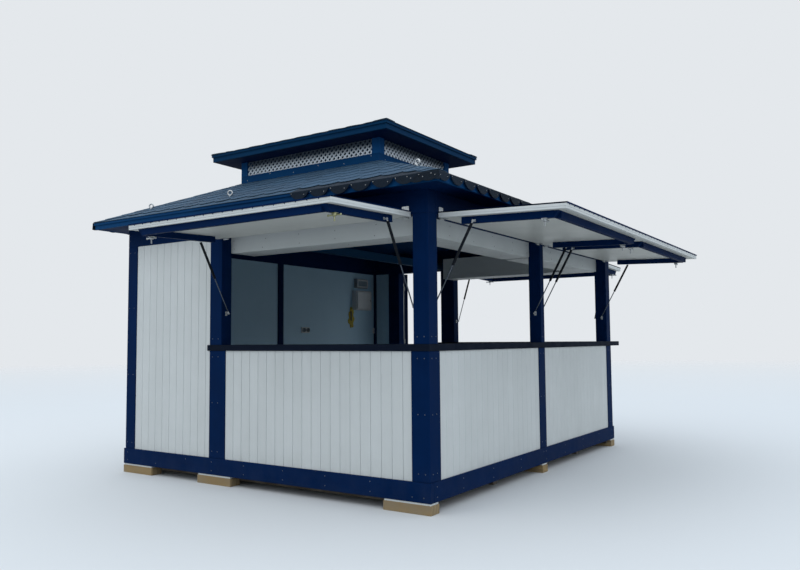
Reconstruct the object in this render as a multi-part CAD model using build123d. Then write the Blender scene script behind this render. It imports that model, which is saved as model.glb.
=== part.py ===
from build123d import *
import math
import os

os.makedirs("parts", exist_ok=True)

# Street kiosk: timber frame, board walls, four raised serving hatches, hip roof with a lattice lantern.
# Millimetres, Z up, level ground at Z 0. Front is -Y, right is +X, back is +Y, left is -X.

# Plan of the timber frame, measured over the outer faces of the posts
frame_w = 3500.0
frame_d = 4200.0
half_w = frame_w / 2
half_d = frame_d / 2

# Support under the sill
block_h = 70.0
shim_h = 15.0
block_len = 420.0
block_wid = 120.0
shim_inset = 6.0
sill_bottom = block_h + shim_h
sill_h = 145.0
sill_t = 45.0
sill_proud = 10.0
sill_top = sill_bottom + sill_h

# Floor
bearer_wid = 70.0
bearer_bottom = 42.0
bearer_inset = 60.0
bearer_count = 5
bearer_clear = 3.0
floor_t = 25.0
floor_top = 200.0
floor_bottom = floor_top - floor_t

# Counter and the walls below it
counter_top_z = 1235.0
counter_t = 52.0
counter_bottom = counter_top_z - counter_t
counter_proud = 5.0
counter_deep = 400.0
counter_past_post = 28.0
shelf_reach = 300.0
shelf_end_set = 25.0

# Posts and beams
post_w = 134.0
mid_post_w = 150.0
upper_mid_w = 85.0
post_deep = 120.0
stile_w = 24.0
mid_stile_w = 48.0
stud_w = 90.0
beam_bottom = 2210.0
beam_t = 110.0
wall_t = 96.0
wall_recess = 8.0

# Where the posts stand along each side, from the left face of the frame
front_mid_from_left = 1183.0
back_mid_from_left = 1421.0
back_mid_w = 201.0
door_post_from_left = 359.0
door_post_w = 176.0

# Tie beam between the middle posts, and the gap left where boards of one piece meet
tie_w = 60.0
tie_h = 90.0
joint_gap = 1.0

# White boxed headers over the openings
header_bottom = 2066.0
header_top = 2330.0
header_reach = 400.0
header_gap = 1.0

# Lower roof
eave_reach = 237.0
eave_top = 2445.0
roof_t = 22.0
fascia_t = 22.0
fascia_bottom = 2382.0
fascia_set = 10.0
soffit_t = 10.0
soffit_up = 4.0
cut_past = 1.0

# Lantern
lantern_half_w = 855.0
lantern_half_d = 621.0
lantern_y = -818.0
lantern_base = 2846.0
lantern_wall = 70.0
lantern_drop = 150.0
rail_h = 84.0
lattice_h = 140.0
head_clear = 2.0
lantern_post = 82.0
lattice_t = 12.0
lattice_bar = 14.0
lattice_pitch = 51.0
lattice_set = 12.0

# Upper roof
upper_reach_w = 217.0
upper_reach_d = 200.0
upper_half_w = lantern_half_w + upper_reach_w
upper_half_d = lantern_half_d + upper_reach_d
upper_fascia_h = 69.0
upper_slope = 0.30

# Hatches
axis_out = 8.0
axis_z = 2179.0
hatch_tilt = 1.9
hatch_body_t = 36.0
hatch_cover_t = 10.0
hatch_gap = 8.0
cover_lip = 5.0
front_hatch_len = 955.0
right_hatch_len = 1010.0
batten_w = 45.0
batten_h = 50.0
batten_bevel = 38.0
batten_start = 170.0
batten_far = 935.0
batten_end_set = 20.0
batten_inset = 60.0
far_hatch_lap = 74.0
hatch_past_post = 30.0
hatch_split_gap = 8.0
hatch_end_gap = 8.0
shelf_gap = 8.0

# Toggle latches at the outer corners of the hatches
latch_plate = 46.0
latch_plate_t = 3.0
latch_back = 110.0
latch_rod_d = 8.0
latch_rod_len = 104.0
latch_drop = 22.0
latch_grip = 34.0

# Butt hinges of the hatches and the door
knuckle_r = 6.0
knuckle_sides = 8
pin_r = 3.0
pin_gap = 0.3
knuckle_len = 22.0
knuckle_gap = 1.0
end_knuckle_len = 18.0
leaf_plate_t = 3.0
plate_reach = 46.0
plate_clear = 1.0
plate_start = 4.0
plate_lap = 1.0
bore_past = 1.0
plate_w = 62.0
hatch_plate_reach = 92.0
hinge_inset = 60.0

# Gas struts
strut_out = 280.0
strut_drop = 30.0
strut_in = 55.0
strut_foot_z = 1515.0
strut_off = 34.0
tube_d = 22.0
rod_d = 10.0
tube_len = 345.0
tube_start = 18.0
bore_wall = 6.0
tube_sides = 8
rod_sides = 8
bore_clear = 0.6
rod_engaged = 10.0
eye_d = 18.0
eye_t = 8.0
eye_gap = 2.0
bracket_t = 4.0
bracket_gap = 2.0
bracket_half = 12.0
bracket_pin_r = 3.8
eye_hole_r = 4.5
foot_half = 9.0

# Door leaf
leaf_t = 40.0
leaf_gap = 6.0
leaf_hinge_gap = 7.0
leaf_lock_gap = 8.0
leaf_open = 135.0
leaf_foot_gap = 8.0
door_axis_out = 8.0
leaf_set = 4.0
door_hinge_heights = (500.0, 1250.0, 2000.0)
knob_d = 50.0
knob_len = 50.0
knob_sides = 12
knob_height = 1000.0
knob_from_edge = 80.0

# Electrical boxes on the left lining, from the back face of the frame and above the ground
cabinet_far = 294.0
cabinet_w = 352.0
cabinet_z = 1691.0
cabinet_h = 269.0
cabinet_deep = 90.0
meter_w = 259.0
meter_h = 129.0
meter_deep = 60.0
meter_gap = 38.0
socket_far = 1562.0
socket_w = 155.0
socket_z = 1367.0
socket_h = 76.0
socket_deep = 30.0

# Lifting eyes
ring_eye_d = 56.0
ring_eye_bar = 14.0
ring_eye_sides = 12
ring_eye_bar_sides = 6
collar_r = 18.0
collar_up = 18.0
eye_from_left = 300.0
eye_from_right = 100.0
eye_middle_from_left = 1400.0
eye_from_face = 30.0


def block(x0, x1, y0, y1, z0, z1):
    """Axis aligned block between two corners."""
    size = Box(x1 - x0, y1 - y0, z1 - z0)
    return Pos((x0 + x1) / 2, (y0 + y1) / 2, (z0 + z1) / 2) * size


def ring(hx, hy, t, z0, z1, cy=0.0):
    """Rectangular ring with outer half sizes hx, hy and wall t."""
    outer = block(-hx, hx, cy - hy, cy + hy, z0, z1)
    inner = block(-hx + t, hx - t, cy - hy + t, cy + hy - t, z0 - cut_past, z1 + cut_past)
    return outer - inner


def slab(points, t):
    """Flat slab below a planar outline, with vertical edges."""
    outline = Face(Wire.make_polygon([Vector(*p) for p in points], close=True))
    return Solid.extrude(outline, Vector(0, 0, -t))


def prism(sides, r, length):
    """Upright bar with a regular section of few sides, centred on the origin."""
    return extrude(RegularPolygon(r, sides), length / 2, both=True)


def save(name, *solids):
    """Write one node as a STEP file."""
    whole = Compound(children=[s for group in solids for s in group.solids()])
    export_step(whole, f"parts/{name}.step")


# Roof outlines
tall = 1000.0
rail_top = lantern_base + rail_h
lattice_top = rail_top + lattice_h
upper_fascia_bottom = lattice_top
upper_eave = upper_fascia_bottom + upper_fascia_h
eave_half_w = half_w + eave_reach
eave_half_d = half_d + eave_reach
lantern_front = lantern_y - lantern_half_d
lantern_back = lantern_y + lantern_half_d
eave_corners = {
    "fl": (-eave_half_w, -eave_half_d, eave_top),
    "fr": (eave_half_w, -eave_half_d, eave_top),
    "br": (eave_half_w, eave_half_d, eave_top),
    "bl": (-eave_half_w, eave_half_d, eave_top),
}
base_corners = {
    "fl": (-lantern_half_w, lantern_front, lantern_base),
    "fr": (lantern_half_w, lantern_front, lantern_base),
    "br": (lantern_half_w, lantern_back, lantern_base),
    "bl": (-lantern_half_w, lantern_back, lantern_base),
}


def above(points):
    """Everything over the underside of the roof slope with this outline."""
    low = [Vector(x, y, z - roof_t) for x, y, z in points]
    return Solid.extrude(Face(Wire.make_polygon(low, close=True)), Vector(0, 0, tall))


def slope_points(a, b):
    """Outline of the roof slope between the eave corners a and b."""
    return [eave_corners[a], eave_corners[b], base_corners[b], base_corners[a]]


slopes = {
    "front": slope_points("fl", "fr"),
    "right": slope_points("fr", "br"),
    "back": slope_points("br", "bl"),
    "left": slope_points("bl", "fl"),
}
slabs = {name: slab(points, roof_t) for name, points in slopes.items()}

# Support blocks and shims: one pair under each corner and under each mid post
corner_x = half_w + sill_proud - block_len / 2
corner_y = half_d + sill_proud - block_wid / 2
block_places = [(sx * corner_x, sy * corner_y) for sx in (-1, 1) for sy in (-1, 1)]
front_mid_left = front_mid_from_left - half_w
back_mid_right = back_mid_from_left - half_w
door_post_left = door_post_from_left - half_w
block_places += [(front_mid_left + mid_post_w / 2, -corner_y), (back_mid_right, corner_y)]
block_places += [(-corner_x, 0.0), (corner_x, 0.0)]
blocks = []
shims = []
for cx, cy in block_places:
    hx = block_len / 2
    hy = block_wid / 2
    blocks.append(block(cx - hx, cx + hx, cy - hy, cy + hy, 0, block_h))
    sx = hx - shim_inset
    sy = hy - shim_inset
    shims.append(block(cx - sx, cx + sx, cy - sy, cy + sy, block_h, sill_bottom))
blocks.append(block(-block_len / 2, block_len / 2, -block_wid / 2, block_wid / 2, 0, bearer_bottom))
save("support_blocks", *blocks)
save("shims", *shims)

# Sill frame round the foot of the walls
sill_half_w = half_w + sill_proud
sill_half_d = half_d + sill_proud
save("sill_frame", ring(sill_half_w, sill_half_d, sill_t, sill_bottom, sill_top))

# Floor bearers and floor
inner_half_w = sill_half_w - sill_t
inner_half_d = sill_half_d - sill_t
bearers = []
bearer_span = 2 * (inner_half_d - bearer_inset) - bearer_wid
for i in range(bearer_count):
    cy = -bearer_span / 2 + bearer_span * i / (bearer_count - 1)
    y0 = cy - bearer_wid / 2
    bearers.append(block(-inner_half_w, inner_half_w, y0, y0 + bearer_wid, bearer_bottom, floor_bottom))
for bx, by in block_places:
    hx = block_len / 2 + bearer_clear
    hy = block_wid / 2 + bearer_clear
    cut = block(bx - hx, bx + hx, by - hy, by + hy, -cut_past, sill_bottom + bearer_clear)
    bearers = [b - cut for b in bearers]
save("floor_bearers", *bearers)
save("floor_deck", block(-inner_half_w, inner_half_w, -inner_half_d, inner_half_d, floor_bottom, floor_top))

# Posts. A post that carries the counter is in two lengths, below and above it.
left_x = -half_w
right_x = half_w
front_y = -half_d
back_y = half_d
front_mid_right = front_mid_left + mid_post_w
right_mid_near = -mid_post_w / 2
right_mid_far = mid_post_w / 2
upper_mid_near = right_mid_far - upper_mid_w
back_mid_left = back_mid_right - back_mid_w
door_right = back_mid_left
door_left = door_post_left + door_post_w

full_posts = [
    block(left_x, left_x + post_w, front_y, front_y + post_w, sill_top, beam_bottom),
    block(left_x, left_x + post_w, back_y - post_w, back_y, sill_top, beam_bottom),
    block(left_x, left_x + post_deep, -stud_w / 2, stud_w / 2, sill_top, beam_bottom),
    block(door_post_left, door_left, back_y - post_deep, back_y, sill_top, beam_bottom),
]

wall_out = wall_recess
wall_in = wall_recess + wall_t


def lower_post(x0, x1, y0, y1):
    return block(x0, x1, y0, y1, sill_top, counter_bottom)


def upper_post(x0, x1, y0, y1):
    return block(x0, x1, y0, y1, counter_top_z, beam_bottom)


corner_low = post_w + stile_w
near_low = lower_post(right_x - post_w, right_x, front_y, front_y + post_w)
near_low += lower_post(right_x - corner_low, right_x, front_y, front_y + post_deep)
near_low += lower_post(right_x - post_deep, right_x, front_y, front_y + corner_low)
far_low = mirror(near_low, about=Plane.XZ)
front_mid_low = lower_post(front_mid_left, front_mid_right + mid_stile_w, front_y, front_y + post_deep)
right_mid_low = lower_post(right_x - post_deep, right_x, right_mid_near, right_mid_far)
back_mid_low = lower_post(back_mid_left, back_mid_right, back_y - post_deep, back_y)
lower_posts = [near_low, far_low, front_mid_low, right_mid_low, back_mid_low]
upper_posts = [
    upper_post(right_x - post_w, right_x, front_y, front_y + post_w),
    upper_post(right_x - post_w, right_x, back_y - post_w, back_y),
    upper_post(front_mid_left, front_mid_right, front_y, front_y + post_deep),
    upper_post(right_x - post_deep, right_x, upper_mid_near, right_mid_far),
    upper_post(back_mid_left, back_mid_right, back_y - post_deep, back_y),
]
save("frame_posts", *full_posts, *lower_posts, *upper_posts)


def four_boards(hx, hy, t, z0, z1, cy=0.0):
    """Two long boards and two short boards round a rectangle, with a fine joint where they meet."""
    side_y = hy - t - joint_gap
    return [
        block(-hx, hx, cy - hy, cy - hy + t, z0, z1),
        block(-hx, hx, cy + hy - t, cy + hy, z0, z1),
        block(-hx, -hx + t, cy - side_y, cy + side_y, z0, z1),
        block(hx - t, hx, cy - side_y, cy + side_y, z0, z1),
    ]


# Ring beam, its top planed to the roof slopes, and a tie beam between the middle posts
beams = four_boards(half_w, half_d, beam_t, beam_bottom, eave_top + beam_t)
for points in slopes.values():
    over = above(points)
    beams = [beam - over for beam in beams]
save("ring_beam", *beams)
tie_x = (front_mid_left + front_mid_right) / 2
tie_end = half_d - beam_t
tie_beam = block(tie_x - tie_w / 2, tie_x + tie_w / 2, -tie_end, tie_end, beam_bottom, beam_bottom + tie_h)
save("tie_beam", tie_beam)

# Solid wall bays, boards outside and lining inside
wall_z = (sill_top, beam_bottom)
front_wall = block(left_x + post_w, front_mid_left, front_y + wall_out, front_y + wall_in, *wall_z)
counter_end = front_mid_left - counter_past_post
front_wall -= block(counter_end, front_mid_left, front_y, front_y + wall_in, counter_bottom, counter_top_z)
save("front_wall", front_wall)
left_near = block(left_x + wall_out, left_x + wall_in, front_y + post_w, -stud_w / 2, *wall_z)
left_far = block(left_x + wall_out, left_x + wall_in, stud_w / 2, back_y - post_w, *wall_z)
save("left_wall_bays", left_near, left_far)
back_wall = block(left_x + post_w, door_post_left, back_y - wall_in, back_y - wall_out, *wall_z)
save("back_wall", back_wall)

# Board panels below the counters
low_z = (sill_top, counter_bottom)
panel_x0 = front_mid_right + mid_stile_w
panel_x1 = right_x - corner_low
panel_y1 = half_d - corner_low
front_panel = block(panel_x0, panel_x1, front_y + wall_out, front_y + wall_in, *low_z)
right_near_panel = block(right_x - wall_in, right_x - wall_out, -panel_y1, right_mid_near, *low_z)
right_far_panel = block(right_x - wall_in, right_x - wall_out, right_mid_far, panel_y1, *low_z)
back_panel = block(back_mid_right, panel_x1, back_y - wall_in, back_y - wall_out, *low_z)
save("counter_panels", front_panel, right_near_panel, right_far_panel, back_panel)

# Counters
counter_z = (counter_bottom, counter_top_z)
edge_x = right_x + counter_proud
edge_y = half_d + counter_proud
inner_y = edge_y - counter_deep
front_counter = block(front_mid_left, edge_x, -edge_y, -inner_y, *counter_z)
front_counter += block(counter_end, front_mid_left, -edge_y, front_y + wall_in, *counter_z)
save("front_counter", front_counter)
right_counter = block(edge_x - counter_deep, edge_x, -inner_y, inner_y, *counter_z)
save("right_counter", right_counter)
back_counter = block(back_mid_left, edge_x, inner_y, back_y, *counter_z)
back_counter += block(back_mid_left + shelf_end_set, edge_x, back_y, edge_y + shelf_reach, *counter_z)
save("back_counter", back_counter)

# White boxed headers over the openings, set back behind the ring beam and up against its inner face
hz = (header_bottom, header_top)
hg = header_gap
near_in = half_d - post_w
hx = (right_x - header_reach, right_x - beam_t)
front_hy = (front_y + beam_t, front_y + header_reach)
back_hy = (back_y - header_reach, back_y - beam_t)
header_end = right_x - post_w - hg
front_header = block(front_mid_right + hg, header_end, *front_hy, *hz)
back_header = block(back_mid_right + hg, header_end, *back_hy, *hz)
right_near_header = block(*hx, -near_in + hg, upper_mid_near - hg, *hz)
right_far_header = block(*hx, right_mid_far + hg, near_in - hg, *hz)
corner_cut = (hx[0] - cut_past, header_end + hg)
right_near_header -= block(*corner_cut, front_y, front_hy[1] + hg, *hz)
right_far_header -= block(*corner_cut, back_hy[0] - hg, back_y, *hz)
save("header_boxes", front_header, right_near_header, right_far_header, back_header)

# Lower roof
save("end_roof_slopes", slabs["front"], slabs["back"])
save("side_roof_slopes", slabs["left"], slabs["right"])
fascia_half_w = eave_half_w - fascia_set
fascia_half_d = eave_half_d - fascia_set
fascia = ring(fascia_half_w, fascia_half_d, fascia_t, fascia_bottom, eave_top)
for points in slopes.values():
    fascia = fascia - above(points)
save("eave_fascia", fascia)
soffit_half_w = fascia_half_w - fascia_t
soffit_half_d = fascia_half_d - fascia_t
soffit_low = fascia_bottom + soffit_up
soffit_z = (soffit_low, soffit_low + soffit_t)
soffit_cut_z = (soffit_low - cut_past, soffit_low + soffit_t + cut_past)
soffit = block(-soffit_half_w, soffit_half_w, -soffit_half_d, soffit_half_d, *soffit_z)
soffit -= block(-half_w, half_w, -half_d, half_d, *soffit_cut_z)
save("eave_soffit", soffit)

# Lantern
base = ring(lantern_half_w, lantern_half_d, lantern_wall, lantern_base - lantern_drop, rail_top, lantern_y)
save("lantern_base", base)
posts = []
for sx in (-1, 1):
    for sy in (-1, 1):
        cx = sx * (lantern_half_w - lantern_post / 2)
        cy = lantern_y + sy * (lantern_half_d - lantern_post / 2)
        h = lantern_post / 2
        posts.append(block(cx - h, cx + h, cy - h, cy + h, rail_top, lattice_top))
save("lantern_posts", *posts)
head_in = min(upper_reach_w, upper_reach_d)
head_top = upper_eave + upper_slope * head_in - roof_t - head_clear
save("lantern_head", *four_boards(lantern_half_w, lantern_half_d, lantern_post, lattice_top, head_top, lantern_y))
upper_fascia_half_w = upper_half_w - fascia_set
upper_fascia_half_d = upper_half_d - fascia_set
upper_soffit_hw = upper_fascia_half_w - fascia_t
upper_soffit_hd = upper_fascia_half_d - fascia_t
upper_soffit_z = (lattice_top, lattice_top + soffit_t)
upper_soffit_y = (lantern_y - upper_soffit_hd, lantern_y + upper_soffit_hd)
upper_soffit = block(-upper_soffit_hw, upper_soffit_hw, *upper_soffit_y, *upper_soffit_z)
head_cut_z = (lattice_top - cut_past, head_top)
upper_soffit -= block(-lantern_half_w, lantern_half_w, lantern_front, lantern_back, *head_cut_z)
save("upper_soffit", upper_soffit)


def lattice(width, height):
    """Two layers of slats that lean both ways, fused where they cross, in the XZ plane."""
    count = int((width + height) / lattice_pitch) + 2
    start = -lattice_pitch * (count - 1) / 2
    length = 2 * height
    panel = Box(width, lattice_t, height)
    slats = []
    for lean, side in ((45, -1), (-45, 1)):
        for i in range(count):
            place = Pos(start + lattice_pitch * i, side * lattice_t / 4, 0) * Rot(0, lean, 0)
            slat = (place * Box(lattice_bar, lattice_t / 2, length)) & panel
            if slat:
                slats.extend(slat.solids())
    whole = slats[0].fuse(*slats[1:])
    return max(whole.solids(), key=lambda solid: solid.volume)


lattice_z = (lattice_top + rail_top) / 2
lattice_y = lantern_half_d - lattice_set - lattice_t / 2
lattice_x = lantern_half_w - lattice_set - lattice_t / 2
long_panel = lattice(2 * (lantern_half_w - lantern_post), lattice_h)
short_panel = lattice(2 * (lantern_half_d - lantern_post), lattice_h)
front_lattice = Pos(0, lantern_y - lattice_y, lattice_z) * long_panel
back_lattice = Pos(0, lantern_y + lattice_y, lattice_z) * Rot(0, 0, 180) * long_panel
right_lattice = Pos(lattice_x, lantern_y, lattice_z) * Rot(0, 0, 90) * short_panel
left_lattice = Pos(-lattice_x, lantern_y, lattice_z) * Rot(0, 0, -90) * short_panel
save("lantern_long_lattices", front_lattice, back_lattice)
save("lantern_side_lattices", right_lattice, left_lattice)

# Upper roof
rise = upper_half_d * upper_slope
ridge_half = upper_half_w - upper_half_d
ue = upper_eave
uc = [
    (-upper_half_w, lantern_y - upper_half_d, ue),
    (upper_half_w, lantern_y - upper_half_d, ue),
    (upper_half_w, lantern_y + upper_half_d, ue),
    (-upper_half_w, lantern_y + upper_half_d, ue),
]
ridge = [(-ridge_half, lantern_y, ue + rise), (ridge_half, lantern_y, ue + rise)]
upper_faces = [
    [uc[0], uc[1], ridge[1], ridge[0]],
    [uc[1], uc[2], ridge[1]],
    [uc[2], uc[3], ridge[0], ridge[1]],
    [uc[3], uc[0], ridge[0]],
]
ridge_cut = block(-ridge_half, ridge_half, lantern_y - joint_gap / 2, lantern_y + joint_gap / 2, ue, ue + tall)
hip_cuts = []
for i, corner in enumerate(uc):
    hip_end = ridge[0] if i in (0, 3) else ridge[1]
    hip_angle = math.degrees(math.atan2(hip_end[1] - corner[1], hip_end[0] - corner[0]))
    hip_mid = Pos((corner[0] + hip_end[0]) / 2, (corner[1] + hip_end[1]) / 2, ue)
    hip_cuts.append(hip_mid * Rot(0, 0, hip_angle) * Box(2 * upper_half_d, joint_gap, tall))
upper_slabs = []
for points in upper_faces:
    one = slab(points, roof_t) - ridge_cut
    for cut in hip_cuts:
        one = one - cut
    upper_slabs.append(one)
save("upper_roof", *upper_slabs)
upper_fascia = ring(upper_fascia_half_w, upper_fascia_half_d, fascia_t, upper_fascia_bottom, upper_eave, lantern_y)
for points in upper_faces:
    upper_fascia = upper_fascia - above(points)
save("upper_fascia", upper_fascia)

# Electrical boxes on the left lining
lining_x = left_x + wall_in
cabinet_y1 = back_y - cabinet_far
cabinet_y0 = cabinet_y1 - cabinet_w
cabinet = block(lining_x, lining_x + cabinet_deep, cabinet_y0, cabinet_y1, cabinet_z, cabinet_z + cabinet_h)
meter_y = (cabinet_y0 + cabinet_y1) / 2
meter_z = cabinet_z + cabinet_h + meter_gap
meter = block(lining_x, lining_x + meter_deep, meter_y - meter_w / 2, meter_y + meter_w / 2, meter_z, meter_z + meter_h)
socket_y = back_y - socket_far
socket = block(lining_x, lining_x + socket_deep, socket_y - socket_w, socket_y, socket_z, socket_z + socket_h)
save("electrical_boxes", cabinet, meter, socket)


def ring_eye():
    """Upright ring of few sides with a plain bar section, its centre at the origin, in the XZ plane."""
    turn = 360 / ring_eye_sides
    half_edge = ring_eye_d / 2 * math.sin(math.radians(turn / 2))
    inradius = ring_eye_d / 2 * math.cos(math.radians(turn / 2))
    corner = 2 * (half_edge + ring_eye_bar)
    wedge = math.tan(math.radians(turn / 2))
    bars = []
    for i in range(ring_eye_sides):
        bar = Rot(0, 90, 0) * prism(ring_eye_bar_sides, ring_eye_bar / 2, corner)
        bar = Pos(0, 0, inradius) * bar
        for side in (-1, 1):
            cut = Rot(0, side * turn / 2, 0) * Pos(side * corner, 0, 0) * Box(2 * corner, corner, 4 * ring_eye_d)
            bar = bar - cut
        bars.append(Rot(0, i * turn, 0) * bar)
    return bars[0].fuse(*bars[1:])


# Lifting eyes through the roof over the ring beam
eye_x_places = (left_x + eye_from_left, left_x + eye_middle_from_left, right_x - eye_from_right)
eyes = []
for side, name in ((-1, "front"), (1, "back")):
    y = side * (half_d - eye_from_face)
    p0 = slopes[name][0]
    p3 = slopes[name][3]
    z_here = p0[2] + (p3[2] - p0[2]) * (y - p0[1]) / (p3[1] - p0[1])
    for x in eye_x_places:
        loop = Pos(x, y, z_here + collar_up - ring_eye_bar / 2 + ring_eye_d / 2) * ring_eye()
        collar = prism(ring_eye_bar_sides, collar_r, collar_up + collar_r)
        collar = Pos(x, y, z_here + collar_up / 2 - collar_r / 2) * collar
        one = loop + collar
        for cut in slabs.values():
            one = one - cut
        eyes.append(max(one.solids(), key=lambda solid: solid.volume))
save("lifting_eyes", *eyes)


# Hatches are drawn shut to the axis: X along the hinge, Y outward, Z up, axis on the X line through the origin.
def hatch_panel(x0, x1, length):
    """White panel with its navy top cover."""
    z0 = hatch_gap
    z1 = z0 + hatch_body_t
    z2 = z1 + hatch_cover_t
    body = block(x0, x1, 0, length, z0, z1)
    cover = block(x0, x1, 0, length + cover_lip, z1, z2)
    return body, cover


def end_batten(x, far):
    """Batten from the hinge side outwards, its outer end cut to a bevel below."""
    z1 = hatch_gap
    z0 = z1 - batten_h
    side = [(x, batten_start, z1), (x, far, z1), (x, far - batten_bevel, z0), (x, batten_start, z0)]
    return Solid.extrude(Face(Wire.make_polygon([Vector(*p) for p in side], close=True)), Vector(batten_w, 0, 0))


def hatch_frame(x0, x1, far):
    """Navy battens under the panel, as one fused frame between x0 and x1."""
    outer = block(x0, x1, far - batten_w, far, hatch_gap - batten_h, hatch_gap)
    outer -= block(x0, x0 + batten_w, far - batten_w, far, -tall, hatch_gap)
    outer -= block(x1 - batten_w, x1, far - batten_w, far, -tall, hatch_gap)
    return end_batten(x0, far) + end_batten(x1 - batten_w, far) + outer


tilt_pose = Rot(-hatch_tilt, 0, 0)
c = math.cos(math.radians(hatch_tilt))
s = math.sin(math.radians(hatch_tilt))
top_y = strut_out * c - strut_drop * s
top_z = -strut_out * s - strut_drop * c
foot_y = -strut_in - axis_out
foot_z = strut_foot_z - axis_z
strut_len = math.hypot(top_y - foot_y, top_z - foot_z)
strut_angle = math.degrees(math.atan2(top_y - foot_y, top_z - foot_z))


def strut_tube(x):
    """Tube of one gas strut with its upper eye, at rest, in hatch axes."""
    eye = Rot(0, 90, 0) * prism(tube_sides, eye_d / 2, eye_t)
    neck_len = tube_start - eye_hole_r
    neck = Pos(0, 0, -eye_hole_r - neck_len / 2) * prism(rod_sides, rod_d / 2, neck_len)
    tube = Pos(0, 0, -tube_len / 2 - tube_start) * prism(tube_sides, tube_d / 2, tube_len)
    bore = Pos(0, 0, -tube_len / 2 - tube_start - bore_wall) * prism(tube_sides, rod_d / 2 + bore_clear, tube_len)
    hole = Rot(0, 90, 0) * Cylinder(eye_hole_r, 2 * eye_t)
    one = eye + neck + (tube - bore) - hole
    return Pos(x, top_y, top_z) * Rot(-strut_angle, 0, 0) * one


def strut_rod(x):
    """Rod of one gas strut with its lower eye, at rest, in hatch axes."""
    rod_len = strut_len - tube_start - tube_len + rod_engaged
    eye = Rot(0, 90, 0) * prism(tube_sides, eye_d / 2, eye_t)
    rod = Pos(0, 0, rod_len / 2) * prism(rod_sides, rod_d / 2, rod_len)
    return Pos(x, foot_y, foot_z) * Rot(-strut_angle, 0, 0) * (eye + rod)


def upper_bracket(x, side):
    """Plate on the side of the end batten with a pin into the strut eye, before the tilt."""
    batten_x = x - side * (batten_inset - strut_off)
    pin_x0 = min(batten_x, x + side * eye_t)
    pin_x1 = max(batten_x, x + side * eye_t)
    plate_x0 = min(batten_x, batten_x + side * bracket_t)
    plate_y = (strut_out - bracket_half, strut_out + bracket_half)
    plate_z = (-strut_drop - eye_hole_r - bracket_gap, -strut_drop + bracket_half)
    plate = block(plate_x0, plate_x0 + bracket_t, *plate_y, *plate_z)
    pin = Rot(0, 90, 0) * Cylinder(bracket_pin_r, pin_x1 - pin_x0)
    pin = Pos((pin_x0 + pin_x1) / 2, strut_out, -strut_drop) * pin
    return plate + pin


def toggle_latch(x, far):
    """Latch under an end batten near its outer end: plate, block, cross rod and a grip, before the tilt."""
    y = far - latch_back
    under = hatch_gap - batten_h
    half = latch_plate / 2
    plate = block(x - batten_w / 2, x + batten_w / 2, y - half, y + half, under - latch_plate_t, under)
    body = block(x - half / 2, x + half / 2, y - half / 2, y + half / 2, under - latch_drop, under)
    rod_z = under - latch_drop + latch_rod_d
    rod = Pos(x, y, rod_z) * Rot(0, 90, 0) * prism(rod_sides, latch_rod_d / 2, latch_rod_len)
    grip = Pos(x, y, under - latch_drop - latch_grip / 2) * prism(rod_sides, latch_rod_d / 2, latch_grip)
    return plate + body + rod + grip


def fixed_hinge(x, side, reach):
    """Fixed half of a butt hinge at x: plate on the wall face, over or under the axis, end knuckles and pin."""
    half = knuckle_len / 2 + knuckle_gap
    end = half + end_knuckle_len
    wall = -axis_out
    start = side * (knuckle_r + plate_clear)
    plate_z = sorted((start, side * reach))
    web_z = sorted((start, 0))
    plate = block(x - plate_w / 2, x + plate_w / 2, wall, wall + leaf_plate_t, *plate_z)
    one = plate + Pos(x, 0, 0) * Rot(0, 90, 0) * Cylinder(pin_r, 2 * end)
    for x0 in (x - end, x + half):
        web = block(x0, x0 + end_knuckle_len, wall, -knuckle_r / 2, *web_z)
        middle = x0 + end_knuckle_len / 2
        one = one + web + Pos(middle, 0, 0) * Rot(0, 90, 0) * prism(knuckle_sides, knuckle_r, end_knuckle_len)
    return one


def moving_hinge(x, lift):
    """Moving half of a butt hinge at x: knuckle and plate under a leaf that lies lift above the axis."""
    half = knuckle_len / 2
    knuckle = Pos(x, 0, 0) * Rot(0, 90, 0) * prism(knuckle_sides, knuckle_r, knuckle_len)
    web = block(x - half, x + half, 0, knuckle_r, 0, lift)
    z0 = lift - leaf_plate_t
    plate_y = knuckle_r + plate_start
    near = block(x - half, x + half, 0, plate_y + plate_lap, z0, lift)
    far = block(x - plate_w / 2, x + plate_w / 2, plate_y, plate_reach, z0, lift)
    bore = Pos(x, 0, 0) * Rot(0, 90, 0) * Cylinder(pin_r + pin_gap, knuckle_len + 2 * bore_past)
    return (knuckle + web + near + far) - bore


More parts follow.
